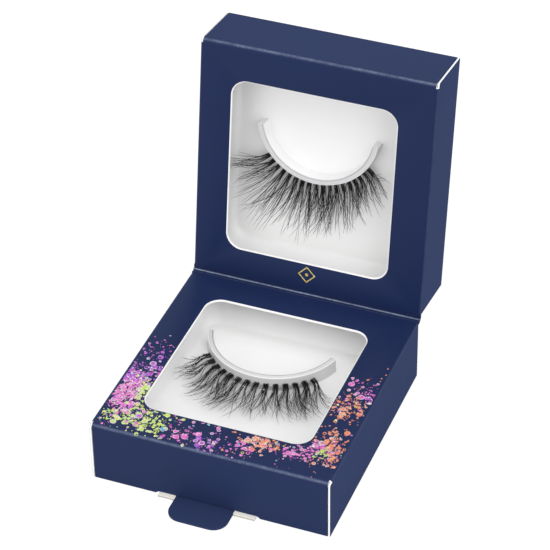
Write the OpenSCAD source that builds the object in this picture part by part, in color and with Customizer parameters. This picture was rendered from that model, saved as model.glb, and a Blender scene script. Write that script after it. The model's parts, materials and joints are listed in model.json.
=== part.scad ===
// Folding display case for one pair of strip lashes.
// Two equal shallow boxes of thin board share one fold, and open like a book.
// Each box has a window, and behind it a white tray that holds one lash.
// All sizes are in millimetres. The base of the lower box rests on z = 0.

/* [Case] */
// Width of each half, along the fold
case_w = 60; // [54:0.5:66]
// Length of each half from its far wall to its hinge wall
case_l = 62.4; // [58:0.1:68]
// Height of each half, from window face to base
case_h = 16.4; // [15:0.1:20]
// Thickness of the board
board_t = 0.5; // [0.4:0.05:0.55]
// Outer radius of the crease between the window panel and the far wall
far_bend_r = 1.2; // [0.8:0.1:1.6]
// Outer radius of the creases between the window panel and the side walls
side_bend_r = 0.6; // [0.6:0.05:0.8]
// Strip of window panel between the hinge wall and the fold
web_l = 1.3; // [1:0.1:2]

/* [Fold] */
// Angle between the two window faces, 0 closed and 180 flat
open_angle = 98.2; // [0:0.1:180]
// Radius of the pressed bead along the fold
crease_r = 0.3; // [0.2:0.05:0.35]
// Gap left between each face and the fold's axis, so that the faces close without rubbing
face_gap = 0.1; // [0.05:0.05:0.2]

/* [Windows] */
// Width of each window
window_w = 42; // [36:0.1:44]
// Length of the lower window
lower_window_l = 44.1; // [38:0.1:46]
// Length of the upper window
upper_window_l = 45.7; // [38:0.1:46]
// Sideways place of both windows
window_x = -0.45; // [-1:0.05:1]
// Corner radius of each window
window_r = 4; // [2:0.1:6]

/* [Flaps] */
// Width of the glue flap that holds the hinge wall to the window panel
glue_flap_l = 6.5; // [4:0.5:7]
// Length of the corner tabs that tie the walls together
corner_tab_l = 8; // [5:0.5:9]
// Height of the tongue that tucks behind the far wall
tongue_h = 8; // [5:0.5:9]
// Width of that tongue
tongue_w = 50; // [40:1:52]
// Lean of the tongue away from the far wall, so that it swings out freely
tongue_lean = 6; // [6:0.5:10]

/* [Pull tab] */
// Width of the pull tab
tab_w = 14.8; // [12:0.1:16]
// Distance that the pull tab stands out from the front wall
tab_l = 7.6; // [5:0.1:9]
// Corner radius of the pull tab
tab_r = 3.6; // [2:0.1:4.5]
// Sideways place of the pull tab's middle
tab_x = -1.15; // [-2:0.05:2]
// Width of the notch in the front wall
notch_w = 26.4; // [26:0.1:30]
// Height of the notch in the front wall
notch_h = 0.65; // [0.65:0.05:1]
// Sideways place of the notch's middle
notch_x = -0.5; // [-1:0.1:1]
// Distance that the cut board edge stands out beside the tab
shoulder_l = 1.3; // [0.5:0.1:2]

/* [Trays] */
// Depth of the tray floor below the window face
floor_depth = 9.2; // [8.5:0.1:10]
// Thickness of the tray sheet
tray_t = 0.5; // [0.4:0.05:0.6]
// Width of the tray floor
floor_w = 46; // [44:0.5:48]
// Length of the tray floor
floor_l = 49.4; // [47:0.1:50]
// Slope of the tray walls, measured as their run on each side
wall_run = 1.6; // [1:0.1:1.8]
// Height of the curved rib that holds a lash
rib_h = 3.6; // [3:0.1:4]
// Thickness of that rib
rib_t = 0.8; // [0.6:0.1:1.2]

/* [Lashes] */
// Radius of the lower rib's outer face
lower_rib_r = 17.4; // [16:0.1:18]
// Radius of the upper rib's outer face
upper_rib_r = 15.7; // [15:0.1:17]
// Height of the lash band above the tray floor
band_lift = 0.85; // [0.5:0.05:1.5]
// Height of the lash band
band_h = 0.4; // [0.3:0.05:0.6]
// Thickness of the lash band
band_t = 0.36; // [0.3:0.02:0.5]
// Half of the angle that each lash band covers
band_half_angle = 51; // [45:1:55]
// Clusters of hairs along the lower lash
lower_clusters = 14; // [10:1:18]
// Clusters of hairs along the upper lash
upper_clusters = 18; // [10:1:20]
// Points that each cluster ends in
cluster_points = 3; // [2:1:4]

/* [Hidden] */
$fn = 64;

navy = "#2c3757";
dark_navy = "#1f2a4c";
raw_board = "#f1eee6";
tray_white = "#f4f4f2";
lash_black = "#17171a";

half_w = case_w / 2;
// Distance from the fold to the outer face of the far wall
panel_l = case_l + web_l;
// Running gap between a flap and the walls round it
flap_gap = 0.1;
// Half width of the far and hinge walls, inside the side walls
inner_half_w = half_w - side_bend_r;
// Height of the base flap's inner face below the window face
base_depth = case_h - board_t;
// Radius at which the window panels stop short of the fold's axis
crease_end = crease_r + face_gap;
// Height of the fold's axis, and its distance behind the middle of the lower box
fold_z = case_h + face_gap;
fold_y = case_l / 2 + web_l;
// Middle of a tray and of a window, measured from the fold
tray_p = panel_l / 2;
window_p = tray_p - 0.45;
// Run of the notch's slanted ends
notch_slant = 0.9;
// Half width of the tray's flange, inside the corner tabs
flange_half_w = half_w - 2 * board_t - 0.4;
flange_margin = 0.3;
flange_corner_r = 3;
floor_corner_r = 4.5;
overlap = 0.2;
// Where each rib's arc has its centre, as [x, distance from the fold]
lower_rib_centre = [-3.3, 10.4];
upper_rib_centre = [-1.1, 43.5];
lower_rib_half_angle = 75;
upper_rib_half_angle = 80;
// Depth of the lash band's two layers below the window face: the fan of hairs lies on the band
band_top = floor_depth - band_lift - band_h;
fan_t = 0.35;
band_gap = 0.05;
// Width of the root of a cluster, as a share of the room each cluster has
cluster_fill = 0.74;
// Share of the reach that the notches between the points of a cluster leave
notch_share = 0.52;

// Places its children, drawn from the fold outwards and down from the face, on the lower box.
module lower_half() {
    translate([0, fold_y, case_h])
        rotate([180, 0, 0])
            children();
}

// Places the same drawing on the upper box, mirrored across the fold.
module upper_half() {
    translate([0, fold_y, fold_z])
        rotate([180 - open_angle, 0, 0])
            translate([0, 0, -face_gap])
                mirror([0, 0, 1])
                    children();
}

// A rectangle with round corners, centred on the origin.
module round_rect(w, l, r) {
    square([w - 2 * r, l], center = true);
    square([w, l - 2 * r], center = true);
    for (sx = [-1, 1])
        for (sy = [-1, 1])
            translate([sx * (w / 2 - r), sy * (l / 2 - r)])
                circle(r);
}

// The section of a board bent through a right angle, in its +x and -y quarter.
module bend_section(r) {
    intersection() {
        difference() {
            circle(r);
            circle(r - board_t);
        }
        translate([0, -r])
            square(r);
    }
}

// The panel with the window, and its bends into the far wall and side walls.
module window_panel(window_l) {
    linear_extrude(board_t)
        difference() {
            union() {
                translate([-inner_half_w, crease_end])
                    square([2 * inner_half_w, panel_l - far_bend_r - crease_end]);
                translate([-half_w, crease_end])
                    square([case_w, web_l - crease_end]);
            }
            translate([window_x, window_p])
                round_rect(window_w, window_l, window_r);
        }
    translate([-inner_half_w, panel_l - far_bend_r, far_bend_r])
        rotate([90, 0, 90])
            linear_extrude(2 * inner_half_w)
                bend_section(far_bend_r);
    for (side = [0, 1])
        mirror([side, 0, 0])
            translate([inner_half_w, panel_l - far_bend_r, side_bend_r])
                rotate([90, 0, 0])
                    linear_extrude(panel_l - far_bend_r - web_l)
                        bend_section(side_bend_r);
}

// The wall opposite the fold.
module far_wall() {
    translate([-inner_half_w, panel_l - board_t, far_bend_r])
        cube([2 * inner_half_w, board_t, case_h - far_bend_r]);
}

// The shallow notch that lets the pull tab out, with slanted ends.
module notch() {
    translate([notch_x, panel_l + overlap, case_h])
        rotate([90, 0, 0])
            linear_extrude(board_t + 2 * overlap)
                polygon([
                    [-notch_w / 2, overlap],
                    [-notch_w / 2, 0],
                    [-notch_w / 2 + notch_slant, -notch_h],
                    [notch_w / 2 - notch_slant, -notch_h],
                    [notch_w / 2, 0],
                    [notch_w / 2, overlap]
                ]);
}

// The wall beside the fold, glued to the window panel by its flap.
module hinge_wall() {
    translate([-inner_half_w, web_l, board_t])
        cube([2 * inner_half_w, board_t, base_depth - flap_gap - board_t]);
}

// The flap folded from the hinge wall's edge, with slanted ends.
module glue_flap() {
    slant = 2;
    flap_half_w = inner_half_w - 0.5;
    translate([0, web_l + board_t, board_t])
        linear_extrude(board_t)
            polygon([
                [-flap_half_w, 0],
                [flap_half_w, 0],
                [flap_half_w - slant, glue_flap_l],
                [-flap_half_w + slant, glue_flap_l]
            ]);
}

// A side wall, from the bend down to the base.
module side_wall(side) {
    mirror([side, 0, 0])
        translate([half_w - board_t, web_l, side_bend_r])
            cube([board_t, case_l, case_h - side_bend_r]);
}

// A corner tab, glued inside a side wall. at_far picks the end of the box.
module corner_tab(side, at_far) {
    chamfer = 1.5;
    top = at_far ? far_bend_r : 2 * board_t;
    bottom = base_depth - 2 * flap_gap;
    root = at_far ? panel_l - board_t : web_l + board_t;
    dir = at_far ? -1 : 1;
    mirror([side, 0, 0])
        translate([half_w - 2 * board_t, root, 0])
            rotate([90, 0, 90])
                linear_extrude(board_t)
                    polygon([
                        [0, top],
                        [dir * (corner_tab_l - chamfer), top],
                        [dir * corner_tab_l, top + chamfer],
                        [dir * corner_tab_l, bottom - chamfer],
                        [dir * (corner_tab_l - chamfer), bottom],
                        [0, bottom]
                    ]);
}

// The panel that closes a half. Its round end turns on the crease below the hinge wall.
module base_flap() {
    flap_half_w = half_w - board_t - 1.5 * flap_gap;
    crease = board_t / 2;
    translate([-flap_half_w, web_l + crease, base_depth])
        cube([2 * flap_half_w, case_l - board_t - flap_gap - crease, board_t]);
    translate([-flap_half_w, web_l + crease, base_depth + crease])
        rotate([0, 90, 0])
            cylinder(r = crease, h = 2 * flap_half_w);
}

// The cut board edges that show on both sides of the pull tab.
module shoulders() {
    root = panel_l - board_t - flap_gap;
    half_span = notch_w / 2 - notch_slant - flap_gap / 2;
    for (span = [
        [notch_x - half_span, tab_x - tab_w / 2],
        [tab_x + tab_w / 2, notch_x + half_span]
    ])
        translate([span[0], root, base_depth])
            cube([span[1] - span[0], shoulder_l + board_t + flap_gap, board_t]);
}

// The tongue that tucks behind the far wall. Its top leans away from the wall.
module tuck_tongue() {
    lean_run = tongue_h * tan(tongue_lean);
    corner_r = 3;
    foot = panel_l - board_t - 1.5 * flap_gap;
    intersection() {
        translate([-tongue_w / 2, foot, base_depth])
            rotate([90, 0, 90])
                linear_extrude(tongue_w)
                    polygon([
                        [0, 0],
                        [-board_t, 0],
                        [-board_t - lean_run, -tongue_h],
                        [-lean_run, -tongue_h]
                    ]);
        translate([0, panel_l, base_depth + corner_r])
            rotate([90, 0, 0])
                linear_extrude(4 * board_t + lean_run)
                    translate([0, -(tongue_h + corner_r) / 2])
                        round_rect(tongue_w, tongue_h + corner_r, corner_r);
    }
}

// The rounded thumb tab in the plane of the base flap.
module thumb_tab() {
    root = panel_l - board_t - flap_gap;
    reach = tab_l + board_t + flap_gap;
    translate([tab_x, root, base_depth])
        linear_extrude(board_t) {
            translate([-tab_w / 2, 0])
                square([tab_w, reach - tab_r]);
            translate([-tab_w / 2 + tab_r, 0])
                square([tab_w - 2 * tab_r, reach]);
            for (sx = [-1, 1])
                translate([sx * (tab_w / 2 - tab_r), reach - tab_r])
                    circle(tab_r);
        }
}

// A cavity with round corners whose walls slope in towards its floor.
module cavity(grow, top, bottom) {
    hull() {
        translate([0, tray_p, top])
            linear_extrude(0.01)
                round_rect(
                    floor_w + 2 * wall_run + 2 * grow,
                    floor_l + 2 * wall_run + 2 * grow,
                    floor_corner_r + grow,
                    $fn = 32
                );
        translate([0, tray_p, bottom - 0.01])
            linear_extrude(0.01)
                round_rect(floor_w + 2 * grow, floor_l + 2 * grow, floor_corner_r + grow, $fn = 32);
    }
}

// The curved rib on the tray floor. facing is 1 where it bulges away from the fold.
module rib(centre, r, half_angle, facing) {
    translate([centre[0], centre[1], floor_depth - rib_h])
        rotate([0, 0, facing * 90 - half_angle])
            rotate_extrude(angle = 2 * half_angle)
                translate([r - rib_t, 0])
                    square([rib_t, rib_h + overlap]);
}

// The tray's flange, glued under the window panel, up to a given thickness.
module flange(thickness) {
    near = web_l + board_t + flange_margin;
    far = panel_l - far_bend_r;
    translate([0, (near + far) / 2, board_t])
        linear_extrude(thickness)
            round_rect(2 * flange_half_w, far - near, flange_corner_r);
}

// A formed tray: flange, sloping cavity, floor and rib. The flange steps down over the glue flap.
module tray(centre, r, half_angle, facing) {
    step_p = web_l + board_t + glue_flap_l + flap_gap;
    difference() {
        union() {
            flange(tray_t);
            intersection() {
                flange(board_t + tray_t);
                translate([-half_w, 0, 0])
                    cube([case_w, step_p + tray_t, case_h]);
            }
            cavity(tray_t, board_t + tray_t / 2, floor_depth + tray_t);
        }
        cavity(0, board_t - overlap, floor_depth);
        translate([-half_w, 0, 0])
            cube([case_w, step_p, 2 * board_t]);
    }
    rib(centre, r, half_angle, facing);
}

// The layer of the lash band that lies against the rib.
module lash_band(centre, r, facing) {
    translate([centre[0], centre[1], band_top])
        rotate([0, 0, facing * 90 - band_half_angle])
            rotate_extrude(angle = 2 * band_half_angle)
                translate([r + band_gap, 0])
                    square([band_t, band_h]);
}

// A point on an arc about the rib's centre, in plan. Angle 0 points away from the rib's hollow.
function arc_point(centre, r, a, facing) = [centre[0] + r * sin(a), centre[1] + facing * r * cos(a)];

// How far the hairs reach at t, from -1 at the left end to 1 at the right.
function hair_reach(t, base, crown, skew) = base + crown * (1 - pow(t, 6)) - skew * t;

// The outline of one cluster, from its root at the left to its root at the right.
function cluster_outline(i, clusters, centre, r, facing, base, crown, skew, spread) =
    let (
        mid_t = (2 * i + 1) / clusters - 1,
        half_t = 1 / clusters,
        last = 2 * cluster_points - 2
    )
    concat(
        [arc_point(centre, r, band_half_angle * (mid_t - cluster_fill * half_t), facing)],
        [
            for (k = [0:last])
                let (
                    t = mid_t + half_t * (k - last / 2) / cluster_points,
                    share = k % 2 == 0 ? 1 : notch_share,
                    reach = share * hair_reach(t, base, crown, skew)
                )
                arc_point(centre, r + reach, band_half_angle * t * (1 + (spread - 1) * share), facing)
        ],
        [arc_point(centre, r, band_half_angle * (mid_t + cluster_fill * half_t), facing)]
    );

// The hairs of one lash as a thin fan that ends in points, with the layer of band they grow from.
module lash_hairs(centre, r, facing, clusters, base, crown, skew, spread) {
    steps = 28;
    root = r + band_gap;
    translate([0, 0, band_top - fan_t])
        linear_extrude(fan_t)
            polygon(concat(
                [
                    for (k = [steps:-1:0])
                        arc_point(centre, root, band_half_angle * (2 * k / steps - 1), facing)
                ],
                [
                    for (i = [0:clusters - 1])
                        each cluster_outline(
                            i, clusters, centre, root + band_t, facing, base, crown, skew, spread
                        )
                ]
            ));
}

module lower_window_panel() { color(dark_navy) lower_half() window_panel(lower_window_l); }
module lower_front_wall() {
    color(navy)
        lower_half()
            difference() {
                far_wall();
                notch();
            }
}
module lower_hinge_wall() { color(navy) lower_half() hinge_wall(); }
module lower_left_wall() { color(navy) lower_half() side_wall(1); }
module lower_right_wall() { color(navy) lower_half() side_wall(0); }
module lower_glue_flap() { color(raw_board) lower_half() glue_flap(); }
module lower_front_left_tab() { color(raw_board) lower_half() corner_tab(1, true); }
module lower_front_right_tab() { color(raw_board) lower_half() corner_tab(0, true); }
module lower_hinge_left_tab() { color(raw_board) lower_half() corner_tab(1, false); }
module lower_hinge_right_tab() { color(raw_board) lower_half() corner_tab(0, false); }
module lower_base_flap() {
    color(navy)
        lower_half() {
            base_flap();
            shoulders();
        }
}
module lower_tuck_tongue() { color(navy) lower_half() tuck_tongue(); }
module pull_tab() { color(navy) lower_half() thumb_tab(); }
module lower_tray() {
    color(tray_white) lower_half() tray(lower_rib_centre, lower_rib_r, lower_rib_half_angle, 1);
}
module lower_lash_band() {
    color(lash_black) lower_half() lash_band(lower_rib_centre, lower_rib_r, 1);
}
module lower_lash_hairs() {
    color(lash_black)
        lower_half()
            lash_hairs(
                lower_rib_centre, lower_rib_r, 1, lower_clusters,
                base = 7, crown = 7, skew = -1, spread = 1
            );
}

// The pressed bead along the fold, with the lip that joins it to the lower window panel.
module fold_crease() {
    color(dark_navy) {
        translate([-half_w, fold_y, fold_z])
            rotate([0, 90, 0])
                cylinder(r = crease_r, h = case_w);
        translate([-half_w, fold_y - crease_end, case_h - board_t])
            cube([case_w, crease_end - crease_r / 2, board_t]);
    }
}

module upper_window_panel() { color(dark_navy) upper_half() window_panel(upper_window_l); }
module upper_top_wall() { color(navy) upper_half() far_wall(); }
module upper_hinge_wall() { color(navy) upper_half() hinge_wall(); }
module upper_left_wall() { color(navy) upper_half() side_wall(1); }
module upper_right_wall() { color(navy) upper_half() side_wall(0); }
module upper_glue_flap() { color(raw_board) upper_half() glue_flap(); }
module upper_top_left_tab() { color(raw_board) upper_half() corner_tab(1, true); }
module upper_top_right_tab() { color(raw_board) upper_half() corner_tab(0, true); }
module upper_hinge_left_tab() { color(raw_board) upper_half() corner_tab(1, false); }
module upper_hinge_right_tab() { color(raw_board) upper_half() corner_tab(0, false); }
module upper_back_flap() { color(navy) upper_half() base_flap(); }
module upper_tuck_tongue() { color(navy) upper_half() tuck_tongue(); }
module upper_tray() {
    color(tray_white) upper_half() tray(upper_rib_centre, upper_rib_r, upper_rib_half_angle, -1);
}
module upper_lash_band() {
    color(lash_black) upper_half() lash_band(upper_rib_centre, upper_rib_r, -1);
}
module upper_lash_hairs() {
    color(lash_black)
        upper_half()
            lash_hairs(
                upper_rib_centre, upper_rib_r, -1, upper_clusters,
                base = 6.8, crown = 7.5, skew = 3.5, spread = 1.06
            );
}

lower_window_panel();
lower_front_wall();
lower_hinge_wall();
lower_left_wall();
lower_right_wall();
lower_glue_flap();
lower_front_left_tab();
lower_front_right_tab();
lower_hinge_left_tab();
lower_hinge_right_tab();
lower_base_flap();
lower_tuck_tongue();
pull_tab();
lower_tray();
lower_lash_band();
lower_lash_hairs();
fold_crease();
upper_window_panel();
upper_top_wall();
upper_hinge_wall();
upper_left_wall();
upper_right_wall();
upper_glue_flap();
upper_top_left_tab();
upper_top_right_tab();
upper_hinge_left_tab();
upper_hinge_right_tab();
upper_back_flap();
upper_tuck_tongue();
upper_tray();
upper_lash_band();
upper_lash_hairs();
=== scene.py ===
"""The looks of a folding display case for one pair of strip lashes.

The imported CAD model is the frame. Each half is drawn in its own coordinates, in millimetres:
x along the fold, p the distance from the fold, and d the depth below the window face.
"""

import json
import logging
import math
import random
from dataclasses import dataclass
from enum import Enum
from typing import Callable, Iterator, Sequence

import bmesh
import bpy
from mathutils import Matrix, Vector

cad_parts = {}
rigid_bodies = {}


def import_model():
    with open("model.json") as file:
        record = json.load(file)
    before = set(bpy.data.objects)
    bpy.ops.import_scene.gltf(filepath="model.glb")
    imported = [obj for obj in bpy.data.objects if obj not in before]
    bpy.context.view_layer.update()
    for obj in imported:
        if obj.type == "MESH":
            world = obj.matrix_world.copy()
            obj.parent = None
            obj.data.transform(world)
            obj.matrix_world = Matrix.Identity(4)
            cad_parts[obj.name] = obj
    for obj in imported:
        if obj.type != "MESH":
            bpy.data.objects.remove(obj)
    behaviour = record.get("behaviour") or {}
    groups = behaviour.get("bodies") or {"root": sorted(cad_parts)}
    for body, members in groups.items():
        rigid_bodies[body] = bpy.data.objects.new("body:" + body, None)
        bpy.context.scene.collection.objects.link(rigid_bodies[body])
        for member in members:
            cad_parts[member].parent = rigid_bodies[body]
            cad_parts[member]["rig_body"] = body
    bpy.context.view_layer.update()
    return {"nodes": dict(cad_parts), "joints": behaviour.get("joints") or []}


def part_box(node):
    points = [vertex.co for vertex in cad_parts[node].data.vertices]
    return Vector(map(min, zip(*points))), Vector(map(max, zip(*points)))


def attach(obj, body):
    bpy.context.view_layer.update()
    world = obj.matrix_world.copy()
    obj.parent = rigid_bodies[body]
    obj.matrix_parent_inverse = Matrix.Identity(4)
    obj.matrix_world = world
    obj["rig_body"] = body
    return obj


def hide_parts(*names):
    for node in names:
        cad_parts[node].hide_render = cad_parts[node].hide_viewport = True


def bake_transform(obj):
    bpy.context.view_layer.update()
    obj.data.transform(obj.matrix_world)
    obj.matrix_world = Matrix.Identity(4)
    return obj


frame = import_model()

MM = 0.001
SHARP = math.radians(32)
# A point attribute: on creases it carries worn print with a painted highlight, on the trays stretched sheet
# with painted shade.
WEAR_AND_PAINTED_LIGHT = "press_mark"
WHITE = (1.0, 1.0, 1.0, 1.0)
FLOAT, VECTOR, COLOUR = "NodeSocketFloat", "NodeSocketVector", "NodeSocketColor"

log = logging.getLogger("lash_case")

Flat = tuple[float, float]
Point = tuple[float, float, float]
Colour = tuple[int, int, int]
Lay = Callable[[float, float, float], Point]
Skins = Sequence[int] | int
Node, Socket, Tree = bpy.types.Node, bpy.types.NodeSocket, bpy.types.NodeTree
Material, Piece = bpy.types.Material, bpy.types.Object


def srgb(red: int, green: int, blue: int) -> tuple[float, float, float, float]:
    """Turns a colour from 0 to 255 into the linear values that a shader takes."""
    shares = (red / 255, green / 255, blue / 255)
    return (*(c / 12.92 if c <= 0.04045 else ((c + 0.055) / 1.055) ** 2.4 for c in shares), 1.0)


def smooth(share: float) -> float:
    """Eases a share from 0 to 1."""
    share = min(max(share, 0.0), 1.0)
    return share * share * (3 - 2 * share)


def bell(value: float, middle: float, width: float) -> float:
    """A bell curve of height 1."""
    return math.exp(-((value - middle) ** 2) / (2 * width * width))


def steps(low: float, high: float, count: int) -> list[float]:
    """Evenly spaced values from low to high, with both ends."""
    return [low + (high - low) * i / count for i in range(count + 1)]


def station(table: Sequence[Flat], at: float) -> float:
    """Reads a value between the rows of a table.

    Args:
        table: Rows of (place, value), in rising order of place.
        at: The place to read.

    Returns:
        The value there, held level beyond the ends.
    """
    if at <= table[0][0]:
        return table[0][1]
    for (a, low), (b, high) in zip(table, table[1:]):
        if at <= b:
            return low + (high - low) * (at - a) / (b - a)
    return table[-1][1]


class Half(Enum):
    """The two halves of the case, by the prefix of their nodes."""

    LOWER = "lower"
    UPPER = "upper"


class Side(Enum):
    """The sides of a half, by name and by the sign of x."""

    LEFT = -1
    RIGHT = 1


class Skin(Enum):
    """Which finish a face of a board piece takes, as its material index."""

    FACE = 0
    EDGE = 1
    BACK = 2
    PLIES = 3


class Motif(Enum):
    """The shapes of the foil confetti."""

    DISC = "disc"
    RING = "ring"
    DASH = "dash"
    PETAL = "petal"


@dataclass(frozen=True)
class CaseSizes:
    """The sizes of the case, in millimetres, with the main ones read from the frame."""

    half_w: float
    panel_l: float
    case_h: float
    fold_y: float
    fold_z: float
    board_t: float = 0.5
    far_bend_r: float = 1.2
    side_bend_r: float = 0.6
    web_l: float = 1.3
    strip_l: float = 0.9
    face_gap: float = 0.1
    open_angle: float = 98.2
    window_w: float = 42.0
    lower_window_l: float = 44.1
    upper_window_l: float = 45.7
    window_r: float = 4.0
    window_x: float = -0.45
    window_shift: float = 0.45

    @classmethod
    def from_frame(cls) -> "CaseSizes":
        """Reads the width, length, height and fold from the CAD nodes and the fold's joint."""
        low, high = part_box("lower_window_panel")
        fold = next(j for j in frame["joints"] if j["name"] == "fold_hinge")
        _, y, z = (v / MM for v in fold["pos_m"])
        return cls(half_w=high.x / MM, panel_l=y - low.y / MM, case_h=high.z / MM, fold_y=y, fold_z=z)

    @property
    def inner_half_w(self) -> float:
        """Half the width between the side bends."""
        return self.half_w - self.side_bend_r

    @property
    def base_depth(self) -> float:
        """Depth of the closing flap's inner face."""
        return self.case_h - self.board_t

    @property
    def tray_p(self) -> float:
        """Distance of the tray's middle from the fold."""
        return self.panel_l / 2

    @property
    def window_p(self) -> float:
        """Distance of the window's middle from the fold."""
        return self.tray_p - self.window_shift

    @property
    def turn(self) -> float:
        """How far the upper half is turned from lying flat beside the lower one, in radians."""
        return math.radians(180 - self.open_angle)


@dataclass(frozen=True)
class HalfSpace:
    """Places a half's own drawing in the row frame."""

    half: Half
    sizes: CaseSizes

    @property
    def is_lower(self) -> bool:
        """Whether this is the lower half."""
        return self.half is Half.LOWER

    @property
    def window_l(self) -> float:
        """Length of the half's window."""
        return self.sizes.lower_window_l if self.is_lower else self.sizes.upper_window_l

    def node(self, name: str) -> str:
        """The name of one of this half's nodes."""
        return f"{self.half.value}_{name}"

    def place(self, x: float, p: float, d: float) -> Vector:
        """Turns a point of the drawing into the row frame.

        Args:
            x: Place along the fold, in millimetres, as are the others.
            p: Distance from the fold.
            d: Depth below the window face.

        Returns:
            The point in metres.
        """
        s = self.sizes
        if self.is_lower:
            return Vector((x, s.fold_y - p, s.case_h - d)) * MM
        up = -d - s.face_gap
        y = s.fold_y + p * math.cos(s.turn) - up * math.sin(s.turn)
        z = s.fold_z + p * math.sin(s.turn) + up * math.cos(s.turn)
        return Vector((x, y, z)) * MM

    def section(self, p: float, d: float) -> Vector:
        """A point of the drawing as (y, z), in millimetres."""
        at = self.place(0.0, p, d) / MM
        return Vector((at.y, at.z))


# Shader work


class Graph:
    """A node tree with short calls for adding nodes and wiring them."""

    def __init__(self, tree: Tree) -> None:
        """Starts on an empty tree."""
        self.tree = tree
        tree.nodes.clear()

    def wire(self, node: Node, links: dict) -> None:
        """Feeds a node's inputs.

        Args:
            node: The node.
            links: Socket name or index to a plain value or another node's output.
        """
        for name, value in links.items():
            if isinstance(value, Socket):
                self.tree.links.new(value, node.inputs[name])
            else:
                node.inputs[name].default_value = value

    def add(self, kind: str, links: dict | None = None, **settings: object) -> Node:
        """Adds a node.

        Args:
            kind: The node's type, without the ShaderNode prefix for shader nodes.
            links: What to wire to its inputs.
            **settings: Attributes of the node itself.

        Returns:
            The new node.
        """
        made = self.tree.nodes.new(kind if kind.startswith("Node") else f"ShaderNode{kind}")
        for name, value in settings.items():
            setattr(made, name, value)
        self.wire(made, links or {})
        return made

    def mix(self, factor: object, first: object, second: object, blend: str = "MIX") -> Socket:
        """Mixes two colours and gives the result's socket."""
        made = self.add("Mix", {0: factor, 6: first, 7: second}, data_type="RGBA", blend_type=blend)
        return made.outputs[2]

    def ramp(self, value: Socket, low: float, high: float, start: object = 0.0, end: float = 1.0) -> Socket:
        """Maps a value from low..high to start..end, held within them."""
        ends = {"From Min": low, "From Max": high, "To Min": start, "To Max": end}
        return self.add("MapRange", {"Value": value, **ends}).outputs["Result"]

    def maths(self, operation: str, *values: object, clamp: bool = False) -> Socket:
        """Works out a value from numbers or sockets."""
        return self.add("Math", dict(enumerate(values)), operation=operation, use_clamp=clamp).outputs[0]

    def here(self) -> Socket:
        """The place on the object."""
        return self.add("TexCoord").outputs["Object"]

    def noise(self, place: Socket, scale: object, detail: float, roughness: float = 0.5) -> Socket:
        """The value of a soft noise."""
        inputs = {"Vector": place, "Scale": scale, "Detail": detail, "Roughness": roughness}
        return self.add("TexNoise", inputs).outputs["Fac"]


def open_group(
    name: str, inputs: dict[str, tuple[str, object]], outputs: dict[str, str]
) -> tuple[Graph, Node]:
    """Starts a shader node group with named sockets.

    Args:
        name: The group's name.
        inputs: Socket name to its type and default value.
        outputs: Socket name to its type.

    Returns:
        The group's graph and its input node.
    """
    tree = bpy.data.node_groups.new(name, "ShaderNodeTree")
    for label, (kind, value) in inputs.items():
        socket = tree.interface.new_socket(name=label, in_out="INPUT", socket_type=kind)
        socket.default_value = value
    for label, kind in outputs.items():
        tree.interface.new_socket(name=label, in_out="OUTPUT", socket_type=kind)
    graph = Graph(tree)
    return graph, graph.add("NodeGroupInput")


class Effects:
    """The shader node groups that several finishes share, each built once."""

    def __init__(self) -> None:
        """Builds the three groups."""
        self.fibre_grain = self._fibre_grain()
        self.crease_wear = self._crease_wear()
        self.soft_mottle = self._soft_mottle()

    @staticmethod
    def _fibre_grain() -> Tree:
        """Paper fibre: fine noise, stretched a little, as a height and a mask."""
        inputs = {"Scale": (FLOAT, 1800.0), "Stretch": (VECTOR, (1.0, 1.0, 1.0))}
        graph, given = open_group("fibre_grain", inputs, {"Height": FLOAT, "Mask": FLOAT})
        place = graph.here()
        stretched = graph.add("VectorMath", {0: place, 1: given.outputs["Stretch"]}, operation="MULTIPLY")
        fine = graph.noise(stretched.outputs[0], given.outputs["Scale"], 4.0, 0.62)
        height = graph.mix(0.35, fine, graph.noise(place, 420.0, 2.0))
        graph.add("NodeGroupOutput", {"Height": height, "Mask": graph.ramp(fine, 0.56, 0.74)})
        return graph.tree

    @staticmethod
    def _crease_wear() -> Tree:
        """Worn print along pressed creases, with a painted pale highlight: the print is lightened in patches
        and specks, as board showing through and as the highlight.
        """
        inputs = {
            "Colour": (COLOUR, (0.5, 0.5, 0.5, 1.0)),
            "Rubbed": (COLOUR, (0.7, 0.7, 0.7, 1.0)),
            "Crease": (FLOAT, 0.0),
            "Amount": (FLOAT, 0.5),
        }
        graph, given = open_group("crease_wear", inputs, {"Colour": COLOUR, "Mask": FLOAT})
        place = graph.here()
        patches = graph.ramp(graph.noise(place, 260.0, 5.0, 0.7), 0.3, 0.72, 0.35, 1.0)
        specks = graph.ramp(graph.noise(place, 2600.0, 2.0), 0.42, 0.7, 0.7, 1.25)
        along = graph.maths("MULTIPLY", graph.maths("MULTIPLY", patches, specks), given.outputs["Crease"])
        mask = graph.maths("MULTIPLY", along, given.outputs["Amount"], clamp=True)
        # Along the crease, patches and specks of the paler colour: worn print and a painted highlight.
        colour = graph.mix(mask, given.outputs["Colour"], given.outputs["Rubbed"])
        graph.add("NodeGroupOutput", {"Colour": colour, "Mask": mask})
        return graph.tree

    @staticmethod
    def _soft_mottle() -> Tree:
        """Slow, faint changes over a surface, as a colour to multiply by and a value."""
        inputs = {"Scale": (FLOAT, 60.0), "Depth": (FLOAT, 0.06)}
        graph, given = open_group("soft_mottle", inputs, {"Shade": COLOUR, "Value": FLOAT})
        slow = graph.noise(graph.here(), given.outputs["Scale"], 3.0)
        low = graph.maths("SUBTRACT", 1.0, given.outputs["Depth"])
        value = graph.ramp(slow, 0.3, 0.7, low, 1.0)
        shade = graph.add("CombineColor", {0: value, 1: value, 2: value})
        graph.add("NodeGroupOutput", {"Shade": shade.outputs[0], "Value": slow})
        return graph.tree


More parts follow.
